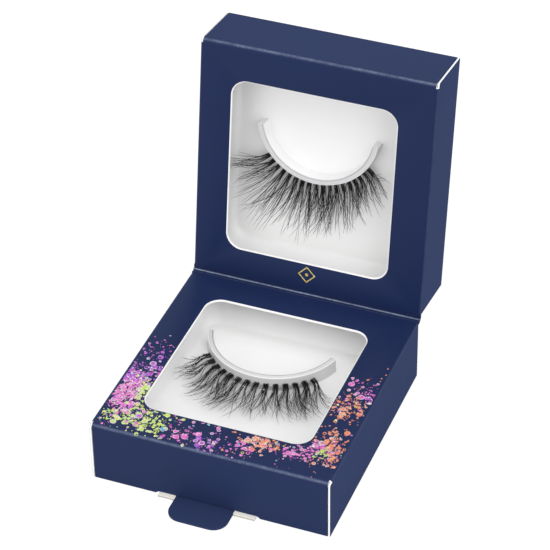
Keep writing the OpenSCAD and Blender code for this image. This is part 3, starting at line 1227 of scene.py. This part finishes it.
@dataclass
class FoldStrip:
    """The strip of board along the fold: a raised bead between two pressed grooves."""

    lower: HalfSpace
    upper: HalfSpace
    finishes: Finishes
    bead_r: float = 0.3
    # Marks of worn print and painted pale highlight: strongest on the bead's ridge, faint on the grooves'
    # rims.
    bead_marks: tuple[Flat, ...] = (
        (66, 0.0), (44, 0.1), (22, 0.75), (0, 1.0), (-22, 0.75), (-44, 0.1), (-66, 0.0),
    )
    rim_marks: Flat = (0.4, 0.1)
    groove: Point = (0.76, 0.6, 0.44)
    groove_d: float = 0.1
    under_p: float = 0.4
    under_rise: float = 0.33
    sway: float = 0.012
    seed: int = 11

    def _ring(self, axis: Vector, out: Vector) -> tuple[list[tuple[Vector, float]], int]:
        """The corners of the strip's section.

        Args:
            axis: The fold, as (y, z).
            out: The way midway between the two faces.

        Returns:
            The corners with their crease marks, and how many lie on the printed side.
        """
        (rim, middle, inner), press, thick = self.groove, self.groove_d, self.lower.sizes.board_t
        lower, upper, end = self.lower.section, self.upper.section, self.lower.sizes.strip_l
        near, away = (
            [(at(end, 0), 0.0), (at(rim, 0), mark), (at(middle, press), 0.0), (at(inner, press), 0.0)]
            for at, mark in zip((lower, upper), self.rim_marks)
        )
        raised = []
        for angle, mark in self.bead_marks:
            cos, sin = math.cos(math.radians(angle)), math.sin(math.radians(angle))
            way = Vector((out.x * cos - out.y * sin, out.x * sin + out.y * cos))
            raised.append((axis + way * self.bead_r, mark))
        ring = near + raised + away[::-1]
        under = [upper(end, thick), upper(self.under_p, thick), axis - out * self.under_rise]
        under += [lower(self.under_p, thick), lower(end, thick)]
        return ring + [(point, 0.0) for point in under], len(ring)

    def build(self) -> None:
        """Sweeps the strip along the fold, from one half to the other."""
        s = self.lower.sizes
        axis = Vector((s.fold_y, s.fold_z))
        out = (Vector((0.0, 1.0)) + Vector((-math.sin(s.turn), math.cos(s.turn)))).normalized()
        ring, printed = self._ring(axis, out)
        section = [(point.x, point.y, mark) for point, mark in ring]
        rng = random.Random(self.seed)
        along = steps(-s.half_w, s.half_w, 150)
        sways = {x: (rng.uniform(-self.sway, self.sway), rng.uniform(-self.sway, self.sway)) for x in along}

        def lay(u: float, v: float, t: float) -> Point:
            """Lays the section across the fold, with the bead pressed a little unevenly."""
            near = 1.0 if (Vector((u, v)) - axis).length < self.bead_r + 0.02 else 0.0
            return (t, u + near * sways[t][0], v + near * sways[t][1])

        draft = MeshDraft(lambda x, y, z: Vector((x, y, z)) * MM)
        sweep(draft, section, along, lay, [0] * (printed - 1) + [1] * (len(ring) - printed + 1), cap=0)
        piece = draft.build("fold_strip_board", self.finishes.get("crease", "back"))
        self.lower.place(0, 0.5, 0)
        self.upper.place(0, 0.5, 0)
        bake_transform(piece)
        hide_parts("fold_crease")
        log.info("fold_strip_board: %d faces, for fold_crease", len(piece.data.polygons))


# The trays and lashes


@dataclass
class LashTray(CasePart):
    """The formed tray behind a window, with the curved rib that holds a lash.

    Attributes:
        rib_centre: The middle of the rib's arc, as (x, p).
        rib_r: The radius of the rib's outer face.
        rib_half_angle: Degrees from the rib's middle to each end.
        facing: 1 where the rib bulges away from the fold, -1 where it bulges towards it.
        thin: How strongly the walls are greyed on the left, the right, the fold's side and the far side, for
            a sheet stretched thin and, mostly, painted shade.
    """

    rib_centre: Flat
    rib_r: float
    rib_half_angle: float
    facing: int
    thin: tuple[float, float, float, float]
    floor_half_w: float = 23.0
    floor_half_l: float = 24.7
    floor_r: float = 4.5
    floor_depth: float = 9.2
    # Two rings on the floor, over which the painted shade beside the walls fades out.
    floor_rings: Flat = (-7.0, -4.0)
    wall_run: float = 1.6
    rim_depth: float = 0.5
    rim_half_w: float = 28.4
    rim_half_l: float = 29.75
    rim_start: float = 2.15
    rim_r: float = 0.7
    foot_r: float = 1.1
    sheet_t: float = 0.5
    step_p: float = 10.4
    step_d: float = 0.5
    rib_h: float = 3.6
    rib_t: float = 1.45

    def build(self) -> None:
        """Builds the tray as one closed sheet, and the rib on its floor."""
        self.draft.stack([self._ring(*row) for row in self._profile()], cap=0)
        self._rib()
        node = self.space.node("tray")
        dress_piece(self.piece(f"{node}_sheet", ("tray", "thin", "groove")), "tray_plastic", node)

    def _profile(self) -> Iterator[Flat]:
        """Rings from the floor's middle over the rim and back underneath, as (out from the floor, depth)."""
        deep, foot, rim, thick = self.floor_depth, self.foot_r, self.rim_r, self.sheet_t
        top, high, low = self.wall_run, self.rim_depth, self.rim_depth + self.sheet_t
        slope = top / (deep - high)

        def curve(start: Flat, knee: Flat, end: Flat, count: int) -> list[Flat]:
            """A soft bend from a start past a knee to an end."""
            return [
                tuple((1 - t) ** 2 * a + 2 * t * (1 - t) * b + t * t * c for a, b, c in zip(start, knee, end))
                for t in steps(0, 1, count)
            ]

        for out in self.floor_rings:
            yield (out, deep)
        yield from curve((-foot, deep), (0, deep), (slope * foot, deep - foot), 8)
        yield from curve((top - slope * rim, high + rim), (top, high), (top + rim, high), 6)
        edge = self.rim_half_w - self.floor_half_w
        yield (edge, high)
        yield (edge, high + thick)
        wide = top + thick
        yield from curve((top + rim + thick, low), (wide, low), (wide - slope * rim, low + rim), 4)
        yield from curve((slope * foot + thick, deep - foot), (thick, deep + thick), (-foot, deep + thick), 6)

    def _ring(self, out: float, depth: float) -> list[int]:
        """Adds one ring of the tray. Near the fold the rim steps down over the glue flap.

        Args:
            out: How far the ring lies outside the floor.
            depth: Its depth.

        Returns:
            The numbers of its points.
        """
        half_w, half_l = self.floor_half_w + out, min(self.floor_half_l + out, self.rim_half_l)
        r = self.floor_r + max(out * 0.5, -1.0)
        risen = smooth((self.floor_depth - depth) / (self.floor_depth - 2.0))
        # The mark greys the walls and the floor within 7 mm of them: a stretched sheet and painted shade,
        # weighted per side.
        drawn_and_shaded = 0.22 * smooth((out + 7) / 7) + 0.78 * risen
        left, right, near_fold, far = self.thin
        points, marks = [], []
        for x, y in round_outline(half_w, half_l, r, 10, 22):
            p = self.space.sizes.tray_p + y
            near = smooth((self.step_p - p) / 2.0) * smooth((2.4 - depth) / 1.0)
            points.append((x, max(p, self.rim_start), depth + self.step_d * near))
            aside, along = abs(x / half_w) ** 6, abs(y / half_l) ** 6
            side, end = (left if x < 0 else right), (near_fold if y < 0 else far)
            marks.append(drawn_and_shaded * (side * aside + end * along) / (aside + along))
        return self.draft.ring(points, marks)

    def _rib(self) -> None:
        """Adds the rib: a curved wall with eased top edges, a pressed groove and a small foot."""
        deep, r, back = self.floor_depth, self.rib_r, self.rib_r - self.rib_t
        top = deep - self.rib_h
        section = (
            (r + 0.3, deep + 0.06), (r + 0.08, deep - 0.08), (r, deep - 0.3), (r, top + 0.2),
            (r - 0.06, top + 0.06), (r - 0.2, top), (back + 0.32, top + 0.02), (back + 0.25, top + 0.16),
            (back + 0.18, top + 0.02), (back + 0.06, top + 0.06), (back, top + 0.2), (back, deep - 0.3),
            (back - 0.08, deep - 0.08), (back - 0.3, deep + 0.06),
        )
        cx, cp = self.rib_centre

        def lay(u: float, v: float, angle: float) -> Point:
            """Lays the rib's section at an angle of its arc."""
            a = math.radians(angle)
            return (cx + u * math.sin(a), cp + self.facing * u * math.cos(a), v)

        # The rib's outer wall and top face take the grey rib finish, the groove the darker one: painted
        # shade; the eased rims keep the tray's white.
        skins = [1, 1, 1, 0, 0, 1, 2, 2, 1, 1, 0, 0, 0, 0]
        arc = steps(-self.rib_half_angle, self.rib_half_angle, 72)
        sweep(self.draft, [(u, v, 0.0) for u, v in section], arc, lay, skins, cap=0)


@dataclass
class StripLash(CasePart):
    """One strip lash: clusters of hairs that leave the clear band together and fan out.

    Angles are in degrees about the middle of the rib's arc, rising with x.

    Attributes:
        centre: The middle of the rib's arc, as (x, p).
        radius: Where the hairs start, from that middle.
        facing: As for the tray.
        reach: The longest hair, by the angle of its tip.
        tips: Where a cluster's tips point, by the angle of the cluster.
        arc: The first and last angle of the band.
        clusters: How many clusters there are.
        hairs: Hairs in a cluster.
        spikes: Pointed tufts that a cluster's hairs gather into.
        seed: The seed of the lash's random numbers.
        block_half: Half the width of a cluster at its root.
        straight: How far a cluster runs before it fans out.
        cross: How far tufts cross their neighbours, in degrees.
        ragged: How much shorter the hairs of a tuft may be.
        sweep: How far tips sweep outwards towards both ends.
        sag: How far the hairs bow on the way.
        stray: How far a tuft's tip curls aside.
        loose: How far hairs stray from their tuft, as a share of cross.
        knot: The share of short hairs that end in the cluster's knot.
        lift: How far the tips rise towards the window.
        root_depth: The depth of the roots.
        hair_r: The radius of a hair at its root.
        specks: Beads of dried glue.
        rings: Segments in a hair.
        limit_x: How far from the middle a tip may reach.
        topmost: The share of hairs that run the full reach.
        taper: The share of its radius that a hair loses before its point.
    """

    centre: Flat
    radius: float
    facing: int
    reach: Sequence[Flat]
    tips: Sequence[Flat]
    arc: Flat
    clusters: int
    hairs: int
    spikes: int
    seed: int
    block_half: float
    straight: float
    cross: float
    ragged: float
    sweep: float
    sag: float
    stray: float
    loose: float
    knot: float
    lift: float
    root_depth: float
    hair_r: float
    specks: int = 0
    rings: int = 9
    limit_x: float = 24.2
    topmost: float = 0.13
    taper: float = 0.45

    def build(self) -> None:
        """Builds every hair as a narrowing three-sided tube."""
        rng = self.rng = random.Random(self.seed)
        low, high = self.arc
        pitch = (high - low) / self.clusters
        for i in range(self.clusters):
            middle = low + pitch * (i + 0.5)
            shift = station(self.tips, middle) - middle
            spikes = [
                (
                    shift + pitch * ((k + 0.5) / self.spikes - 0.5) * 1.5 + rng.gauss(0, self.cross),
                    rng.uniform(0.76, 1.0),
                    rng.gauss(0, self.stray),
                )
                for k in range(self.spikes)
            ]
            for j in range(self.hairs):
                share = 2 * (j + 0.5) / self.hairs - 1
                pick = int((share + 1) / 2 * self.spikes + rng.uniform(-0.5, 0.5))
                fan, longest, curl = spikes[min(max(pick, 0), self.spikes - 1)]
                self._hair(middle, share, fan + rng.gauss(0, self.cross * self.loose), longest, curl)
        for _ in range(self.specks):
            self._speck()
        node = self.space.node("lash_hairs")
        dress_piece(self.piece(f"{node}_fibre", ("hair", "tray"), outward=False), "lash_fibre", node)
        self.redress("lash_band", "band")

    def _polar(self, radius: float, angle: float) -> Flat:
        """A point about the middle of the rib's arc, in plan."""
        a = math.radians(angle)
        return (self.centre[0] + radius * math.sin(a), self.centre[1] + self.facing * radius * math.cos(a))

    def _hair(self, middle: float, share: float, fan: float, longest: float, curl: float) -> None:
        """Adds one hair.

        Args:
            middle: The angle of the hair's cluster.
            share: The hair's place across the cluster, from -1 to 1.
            fan: How far its tip turns away from the cluster's angle.
            longest: How much of the reach its tuft has.
            curl: How far its tuft's tip bends aside.
        """
        rng, reach = self.rng, station(self.reach, middle + fan)
        length = reach * longest * (1 - self.ragged * rng.random() ** 1.2)
        if rng.random() < self.topmost:
            length = reach * rng.uniform(0.92, 1.04)
        bound = rng.random() < self.knot
        if bound:
            length = self.straight * rng.uniform(0.6, 0.75)
        outward = min(max((middle - 6) / 18, -1.0), 1.0)
        swept = outward * self.sweep * rng.uniform(0.5, 1.15) + curl + rng.gauss(0, self.stray * 0.35)
        sag = -outward * self.sag * rng.uniform(0.6, 1.2) + rng.gauss(0, 0.5)
        while abs(self._polar(self.radius + length, middle + fan + swept)[0]) > self.limit_x and length > 2:
            length *= 0.97
        a = math.radians(middle)
        across = (math.cos(a), -self.facing * math.sin(a))
        aside = self.block_half * share + rng.gauss(0, 0.03)
        block = 0.6 * self.straight / length
        depth = self.root_depth + rng.uniform(-0.3, 0.3)
        rise = self.lift * rng.uniform(0.7, 1.2)
        spine = []
        for s in steps(0, 1, self.rings):
            t = max(0.0, (s - block) / (1 - block))
            w = 0.0 if bound else 0.45 * t + 0.55 * smooth(t)
            angle = middle + fan * w + sag * math.sin(math.pi * w) + swept * w * s * s
            x, p = self._polar(self.radius + length * s, angle)
            x += across[0] * aside * (1 - w)
            p += across[1] * aside * (1 - w)
            spine.append(Vector((x, p, depth + 0.2 * math.sin(math.pi * s) - rise * s**2)))
        self._tube(spine, self.hair_r * rng.uniform(0.8, 1.15))

    def _speck(self) -> None:
        """Adds a tiny bead of dried glue between two clusters."""
        draft, rng = self.draft, self.rng
        x, p = self._polar(self.radius + rng.uniform(1.9, 2.9), rng.uniform(-16, 12))
        size = rng.uniform(0.07, 0.14)
        middle = (x, p, self.root_depth - 0.25)
        rings = bead(draft, middle, (size * 1.5, size, size), (15, 50, 90, 130, 165), 8)
        for first, second in zip(rings, rings[1:]):
            draft.bridge(second, first, 1)
        draft.face(rings[0], 1)
        draft.face(rings[-1][::-1], 1)

    def _tube(self, spine: Sequence[Vector], r: float) -> None:
        """Adds a three-sided tube that ends in a point.

        Args:
            spine: The line that it follows.
            r: Its radius at the root.
        """
        draft, rings, last = self.draft, [], len(spine) - 1
        for k in range(last):
            along = spine[k + 1] - spine[k]
            side = Vector((-along.y, along.x, 0.0)).normalized()
            size = r * (1 - self.taper * (k / last) ** 2)
            turns = [math.tau * c / 3 + math.pi / 2 for c in range(3)]
            points = [
                spine[k] + side * (size * math.cos(a)) - Vector((0, 0, size * math.sin(a))) for a in turns
            ]
            rings.append(draft.ring(points))
        if not self.space.is_lower:
            rings = [ring[::-1] for ring in rings]
        draft.face(rings[0][::-1])
        draft.stack(rings)
        (tip,) = draft.ring([spine[-1]])
        for c in range(3):
            draft.face((rings[-1][c], rings[-1][(c + 1) % 3], tip))


# The print


@dataclass
class Confetti(CasePart):
    """Foil confetti on the window frame of the lower half, thickest towards the front."""

    count: int = 2400
    seed: int = 5
    clumps: int = 38
    low_lift: float = 0.008
    high_lift: float = 0.03
    over_bend: float = 0.35
    large: float = 0.04
    loyal: float = 0.8
    rimmed: float = 0.3
    shares: tuple[float, ...] = (0.66, 0.1, 0.1, 0.14)

    def build(self) -> None:
        """Scatters the motifs and builds them as one piece."""
        rng = self.rng = random.Random(self.seed)
        clumps = []
        for _ in range(self.clumps):
            x, q = self._spot()
            clumps.append((x, q, rng.uniform(1.0, 3.0), rng.uniform(0.5, 1.0), self._foil(x, q)))
        made = 0
        while made < self.count:
            x, q = self._spot()
            if rng.random() > self._density(x, q, clumps):
                continue
            size = 0.11 + 0.42 * rng.random() ** 2.6
            if rng.random() < self.large:
                size = rng.uniform(0.6, 0.95)
            nearest = min(clumps, key=lambda c: math.hypot(x - c[0], q - c[1]) / c[2])
            skin = nearest[4] if rng.random() < self.loyal else self._foil(x, q)
            if self._motif(x, q, size, made / self.count, skin):
                made += 1
        piece = self.piece("foil_confetti", tuple(FOILS), outward=False)
        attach(piece, "lower_box")
        log.info("foil_confetti: %d motifs", made)

    def _spot(self) -> Flat:
        """Picks a random place on the front part of the frame.

        Returns:
            The place, as (x, q): q is the distance from the fold on the unrolled print.
        """
        s, rng = self.space.sizes, self.rng
        inner, outer = s.window_w / 2, s.inner_half_w
        front = s.window_p + s.lower_window_l / 2
        share = rng.random()
        if share < 0.44:
            return (rng.uniform(-outer, outer), rng.uniform(front, s.panel_l - 0.6))
        sign = -1 if share < 0.74 else 1
        return (sign * rng.uniform(inner, outer), rng.uniform(20.0 if sign > 0 else 26.0, front))

    def _density(self, x: float, q: float, clumps: Sequence[tuple[float, float, float, float, int]]) -> float:
        """How likely a motif is at a place.

        Args:
            x: Place along the fold.
            q: Distance from the fold on the unrolled print.
            clumps: Each clump's place, radius, weight and foil.

        Returns:
            The likelihood, from 0 to 1.
        """
        rising = smooth((q - (18 if x > 0 else 25)) / 24)
        front = 1 - 0.75 * smooth((q - 60.2) / 3.5)
        near = sum(w * math.exp(-((x - cx) ** 2 + (q - cq) ** 2) / (2 * r * r)) for cx, cq, r, w, _ in clumps)
        wave = min(1.0, bell(x, -27, 9) + bell(x, 24, 6) + 0.55 * bell(x, 1, 8))
        bare = smooth((x - 6) / 6) * smooth((q - 57) / 2)
        return min(1.0, (0.09 + 0.9 * near * (0.4 + 0.6 * wave)) * rising * front) * (1 - 0.95 * bare)

    def _foil(self, x: float, q: float) -> int:
        """Picks the foil of a motif: each part of the frame has its own mix.

        Args:
            x: Place along the fold.
            q: Distance from the fold on the unrolled print.

        Returns:
            The foil's number, in the order of FOILS.
        """
        drift = (
            0.25 + 1.2 * bell(x, -25, 6) + 0.7 * bell(x, 1, 5),
            0.12 + 0.7 * bell(x, -12, 6) + 1.6 * bell(x, -25, 5) * bell(q, 58, 6),
            0.2 + 0.9 * bell(x, -6, 6),
            0.03 + 1.1 * bell(x, 12, 6) + 0.6 * bell(x, 27, 3),
            0.3 + 1.3 * bell(x, 22, 4) + 0.5 * bell(x, -17, 5) + 0.6 * bell(x, -27, 5),
            0.1,
        )
        return self.rng.choices(range(len(drift)), drift)[0]

    def _over(self, x: float, q: float, lift: float) -> Point:
        """Lays a place of the unrolled print on the face or over the front bend.

        Args:
            x: Place along the fold.
            q: Distance from the fold on the unrolled print.
            lift: How far it stands off the board.

        Returns:
            The point as (x, p, d).
        """
        s = self.space.sizes
        start, r = s.panel_l - s.far_bend_r, s.far_bend_r
        if q <= start:
            return (x, q, -lift)
        a = (q - start) / r
        return (x, start + (r + lift) * math.sin(a), r - (r + lift) * math.cos(a))

    def _clear(self, x: float, q: float) -> bool:
        """Whether a place is on the board.

        Args:
            x: Place along the fold.
            q: Distance from the fold on the unrolled print.

        Returns:
            Whether it lies outside the window and inside the side bends.
        """
        s = self.space.sizes
        if abs(x) > s.inner_half_w - 0.02 or q > s.panel_l + self.over_bend:
            return False
        dx = abs(x - s.window_x) - (s.window_w / 2 - s.window_r)
        dq = abs(q - s.window_p) - (s.lower_window_l / 2 - s.window_r)
        reach = s.window_r + BoardHalf.window_bevel
        if dx > 0 and dq > 0:
            return math.hypot(dx, dq) > reach
        return dx > reach or dq > reach

    def _motif(self, x: float, q: float, size: float, share: float, skin: int) -> bool:
        """Adds one motif where it fits.

        Args:
            x: Its place along the fold.
            q: Its distance from the fold on the unrolled print.
            size: Its radius.
            share: Its place in the stack, which sets how far it is lifted.
            skin: Its foil.

        Returns:
            Whether it was added.
        """
        draft, rng = self.draft, self.rng
        kind = rng.choices(list(Motif), self.shares)[0]
        turn = rng.uniform(0, math.tau)
        cos, sin = math.cos(turn), math.sin(turn)
        count = 14 if size > 0.35 else 9
        disc = rng.uniform(0.8, 1.0)
        stretch = {Motif.DISC: disc, Motif.RING: 1.0, Motif.DASH: 0.4, Motif.PETAL: 0.76}[kind]
        lobes = 0.22 if kind is Motif.PETAL else 0.0
        outer = []
        for k in range(count):
            a = math.tau * k / count
            r = size * (1 + lobes * math.cos(3 * a))
            u, v = r * math.cos(a), r * stretch * math.sin(a)
            outer.append((x + u * cos - v * sin, q + u * sin + v * cos))
        if not all(self._clear(*point) for point in outer):
            return False
        lift = self.low_lift + (self.high_lift - self.low_lift) * share
        rim = draft.ring([self._over(*point, lift) for point in outer])
        hollow = kind is Motif.RING
        if size < self.rimmed and not hollow or kind is Motif.DASH:
            draft.face(rim[::-1], skin)
            return True
        shrink = 0.55 if hollow else 0.78
        inner = draft.ring([self._over(x + (u - x) * shrink, q + (v - q) * shrink, lift) for u, v in outer])
        draft.bridge(inner, rim, skin if hollow or rng.random() < 0.6 else len(FOILS) - 1)
        if not hollow:
            draft.face(inner[::-1], skin)
        return True


@dataclass
class GoldLozenge(CasePart):
    """A thin gold lozenge with a dot, on the upper frame beside the fold."""

    half: float = 2.3
    line: float = 0.42
    dot_r: float = 0.42
    middle: float = 5.4
    lift: float = 0.015

    def build(self) -> None:
        """Builds the outline and the dot as thin foil."""
        draft, rings = self.draft, []
        for w in (self.half, self.half - self.line):
            corners = ((w, 0), (0, w), (-w, 0), (0, -w))
            rings.append(draft.ring([(x, self.middle + p, -self.lift) for x, p in corners]))
        draft.bridge(rings[1], rings[0])
        r, turns = self.dot_r, steps(0, math.tau, 16)[:-1]
        draft.face(draft.ring([(r * math.cos(a), self.middle + r * math.sin(a), -self.lift) for a in turns]))
        piece = self.piece("gold_lozenge_foil", ("gold",), outward=False)
        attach(piece, "upper_box")
        log.info("gold_lozenge_foil: %d faces", len(piece.data.polygons))


# The studio


@dataclass
class Studio:
    """A pale floor, a white surround, soft lamps and the camera of the photograph."""

    key_watts: float = 4.2
    fill_watts: float = 2.4
    front_watts: float = 2.4
    lit_spot: Point = (0.0, 0.01, 0.03)
    surround: float = 0.8
    floor_reach: float = 4.0
    floor_tiles: int = 24
    floor_drop: float = 0.00002
    floor_grey: float = 0.8
    floor_glow: float = 1.12
    lens: float = 170.27
    sensor: float = 36.0
    azimuth: float = 21.647
    elevation: float = 37.419
    roll: float = -0.783
    distance: float = 631.30
    aim: Flat = (4.497, 36.260)

    def build(self) -> None:
        """Builds the whole studio."""
        self._world()
        self._floor()
        self._lamp("key_softbox", (0.2, -0.2, 1.1), 0.8, self.key_watts)
        self._lamp("fill_softbox", (0.8, -0.55, 0.55), 0.7, self.fill_watts)
        self._lamp("front_softbox", (-0.55, -1.1, 0.35), 0.8, self.front_watts)
        self._camera()
        bpy.context.scene.view_settings.view_transform = "Standard"

    def _world(self) -> None:
        """White to the camera and in reflections, and a soft grey light on the object."""
        world = bpy.data.worlds.new("white_surround")
        bpy.context.scene.world = world
        world.use_nodes = True
        graph = Graph(world.node_tree)
        ray = graph.add("LightPath").outputs
        seen = graph.maths("MAXIMUM", ray["Is Camera Ray"], ray["Is Transmission Ray"])
        strength = graph.ramp(seen, 0.0, 1.0, self.surround, 1.0)
        gloss = graph.maths("MULTIPLY_ADD", ray["Is Glossy Ray"], 1 - self.surround, strength)
        back = graph.add("Background", {"Color": WHITE, "Strength": gloss})
        graph.add("OutputWorld", {"Surface": back.outputs[0]})

    def _floor(self) -> None:
        """A wide pale floor that is white to the camera and keeps a faint shadow."""
        mesh = bpy.data.meshes.new("pale_floor")
        count, row = self.floor_tiles, self.floor_tiles + 1
        spots = steps(-self.floor_reach, self.floor_reach, count)
        corners = [j * row + i for j in range(count) for i in range(count)]
        faces = [(k, k + 1, k + row + 1, k + row) for k in corners]
        mesh.from_pydata([(x, y, -self.floor_drop) for y in spots for x in spots], [], faces)
        floor = bpy.data.objects.new("pale_floor", mesh)
        bpy.context.scene.collection.objects.link(floor)
        paper = bpy.data.materials.new("studio_paper")
        paper.use_nodes = True
        graph = Graph(paper.node_tree)
        ray = graph.add("LightPath").outputs
        first = graph.maths("MAXIMUM", ray["Is Camera Ray"], ray["Is Glossy Ray"])
        glow = graph.ramp(graph.maths("MAXIMUM", first, ray["Is Transmission Ray"]), 0.0, 1.0, 0.0, 0.8)
        matte = graph.add("BsdfDiffuse", {"Color": (*[self.floor_grey] * 3, 1.0)})
        light = graph.add("Emission", {"Color": WHITE, "Strength": self.floor_glow})
        mixed = graph.add("MixShader", {0: glow, 1: matte.outputs[0], 2: light.outputs[0]})
        graph.add("OutputMaterial", {"Surface": mixed.outputs[0]})
        mesh.materials.append(paper)

    def _lamp(self, name: str, spot: Point, size: float, watts: float) -> None:
        """Adds a square soft lamp that faces the case.

        Args:
            name: Its name.
            spot: Its place, in metres.
            size: The length of its side, in metres.
            watts: Its power.
        """
        lamp = bpy.data.lights.new(name, "AREA")
        lamp.shape = "SQUARE"
        lamp.size = size
        lamp.energy = watts
        holder = bpy.data.objects.new(name, lamp)
        holder.location = spot
        holder.rotation_euler = (Vector(self.lit_spot) - Vector(spot)).to_track_quat("-Z", "Y").to_euler()
        bpy.context.scene.collection.objects.link(holder)

    def _camera(self) -> None:
        """Sets the camera where the photograph was taken from."""
        az, el, roll = (math.radians(v) for v in (self.azimuth, self.elevation, self.roll))
        back = Vector((math.sin(az) * math.cos(el), -math.cos(az) * math.cos(el), math.sin(el)))
        right = Vector((0, 0, 1)).cross(back).normalized()
        up = back.cross(right)
        spot = back * self.distance + right * self.aim[0] + up * self.aim[1]
        turned_right = right * math.cos(roll) + up * math.sin(roll)
        turned_up = up * math.cos(roll) - right * math.sin(roll)
        lens = bpy.data.cameras.new("studio_camera")
        lens.lens = self.lens
        lens.sensor_width = self.sensor
        lens.clip_start = 0.01
        camera = bpy.data.objects.new("studio_camera", lens)
        columns = Matrix((turned_right, turned_up, back)).transposed().to_4x4()
        camera.matrix_world = Matrix.Translation(spot * MM) @ columns
        bpy.context.scene.collection.objects.link(camera)
        bpy.context.scene.camera = camera


LOWER_RIB, UPPER_RIB = (-3.3, 10.4), (-1.1, 43.5)
LOWER_REACH = (
    (-60, 6.5), (-51, 8.6), (-40, 11.0), (-29, 14.0), (-16, 14.7), (0, 15.2), (13, 15.0), (24, 15.0),
    (32, 15.0), (43, 13.6), (52, 11.4), (60, 8.5),
)
LOWER_TIPS = (
    (-53, -45), (-48, -39), (-40, -28), (-25, -15), (-8, -4), (0, 1), (20, 17), (30, 24), (40, 31), (53, 43),
)
UPPER_REACH = (
    (-70, 11.0), (-61, 13.0), (-54, 14.5), (-48, 16.6), (-42, 18.0), (-34, 19.0), (-27, 19.3), (-16, 17.6),
    (-6, 17.4), (0, 14.8), (8, 14.8), (14, 14.4), (23, 12.4), (31, 12.2), (42, 10.3), (51, 8.7), (58, 7.2),
)
UPPER_TIPS = (
    (-52, -61), (-42, -48), (-29, -31), (-10, -9), (0, -1), (5, 3.5), (16, 11), (26, 21.5), (37, 31),
    (47, 43), (56, 55),
)


def main() -> None:
    """Builds the studio and the case."""
    logging.basicConfig(level=logging.INFO, format="%(name)s: %(message)s")
    Studio().build()
    sizes = CaseSizes.from_frame()
    finishes = Finishes()
    lower, upper = HalfSpace(Half.LOWER, sizes), HalfSpace(Half.UPPER, sizes)
    for space in (lower, upper):
        BoardHalf(space, finishes).build()
    PullTab(lower, finishes).build()
    FoldStrip(lower, upper, finishes).build()
    # The last four numbers weight each tray's painted shade: left, right, fold's side, far side.
    LashTray(lower, finishes, LOWER_RIB, 17.4, 75.0, 1, (0.0, 0.3, 0.95, 0.2)).build()
    LashTray(upper, finishes, UPPER_RIB, 15.7, 80.0, -1, (1.0, 0.0, 0.35, 1.0)).build()
    StripLash(
        lower, finishes, LOWER_RIB, 17.63, 1, LOWER_REACH, LOWER_TIPS, arc=(-52.5, 53.0), clusters=14,
        hairs=38, spikes=8, seed=3, block_half=0.66, straight=2.9, cross=1.7, ragged=0.32, sweep=6.0,
        sag=0.6, stray=2.4, loose=0.5, knot=0.4, lift=0.5, root_depth=7.3, hair_r=0.06, specks=5,
    ).build()
    StripLash(
        upper, finishes, UPPER_RIB, 15.93, -1, UPPER_REACH, UPPER_TIPS, arc=(-51.5, 56.0), clusters=18,
        hairs=20, spikes=6, seed=8, block_half=0.54, straight=2.4, cross=2.3, ragged=0.5, sweep=1.5,
        sag=0.8, stray=2.6, loose=0.4, knot=0.1, lift=2.6, root_depth=7.5, hair_r=0.067,
    ).build()
    Confetti(lower, finishes).build()
    GoldLozenge(upper, finishes).build()


if __name__ == "__main__":
    main()
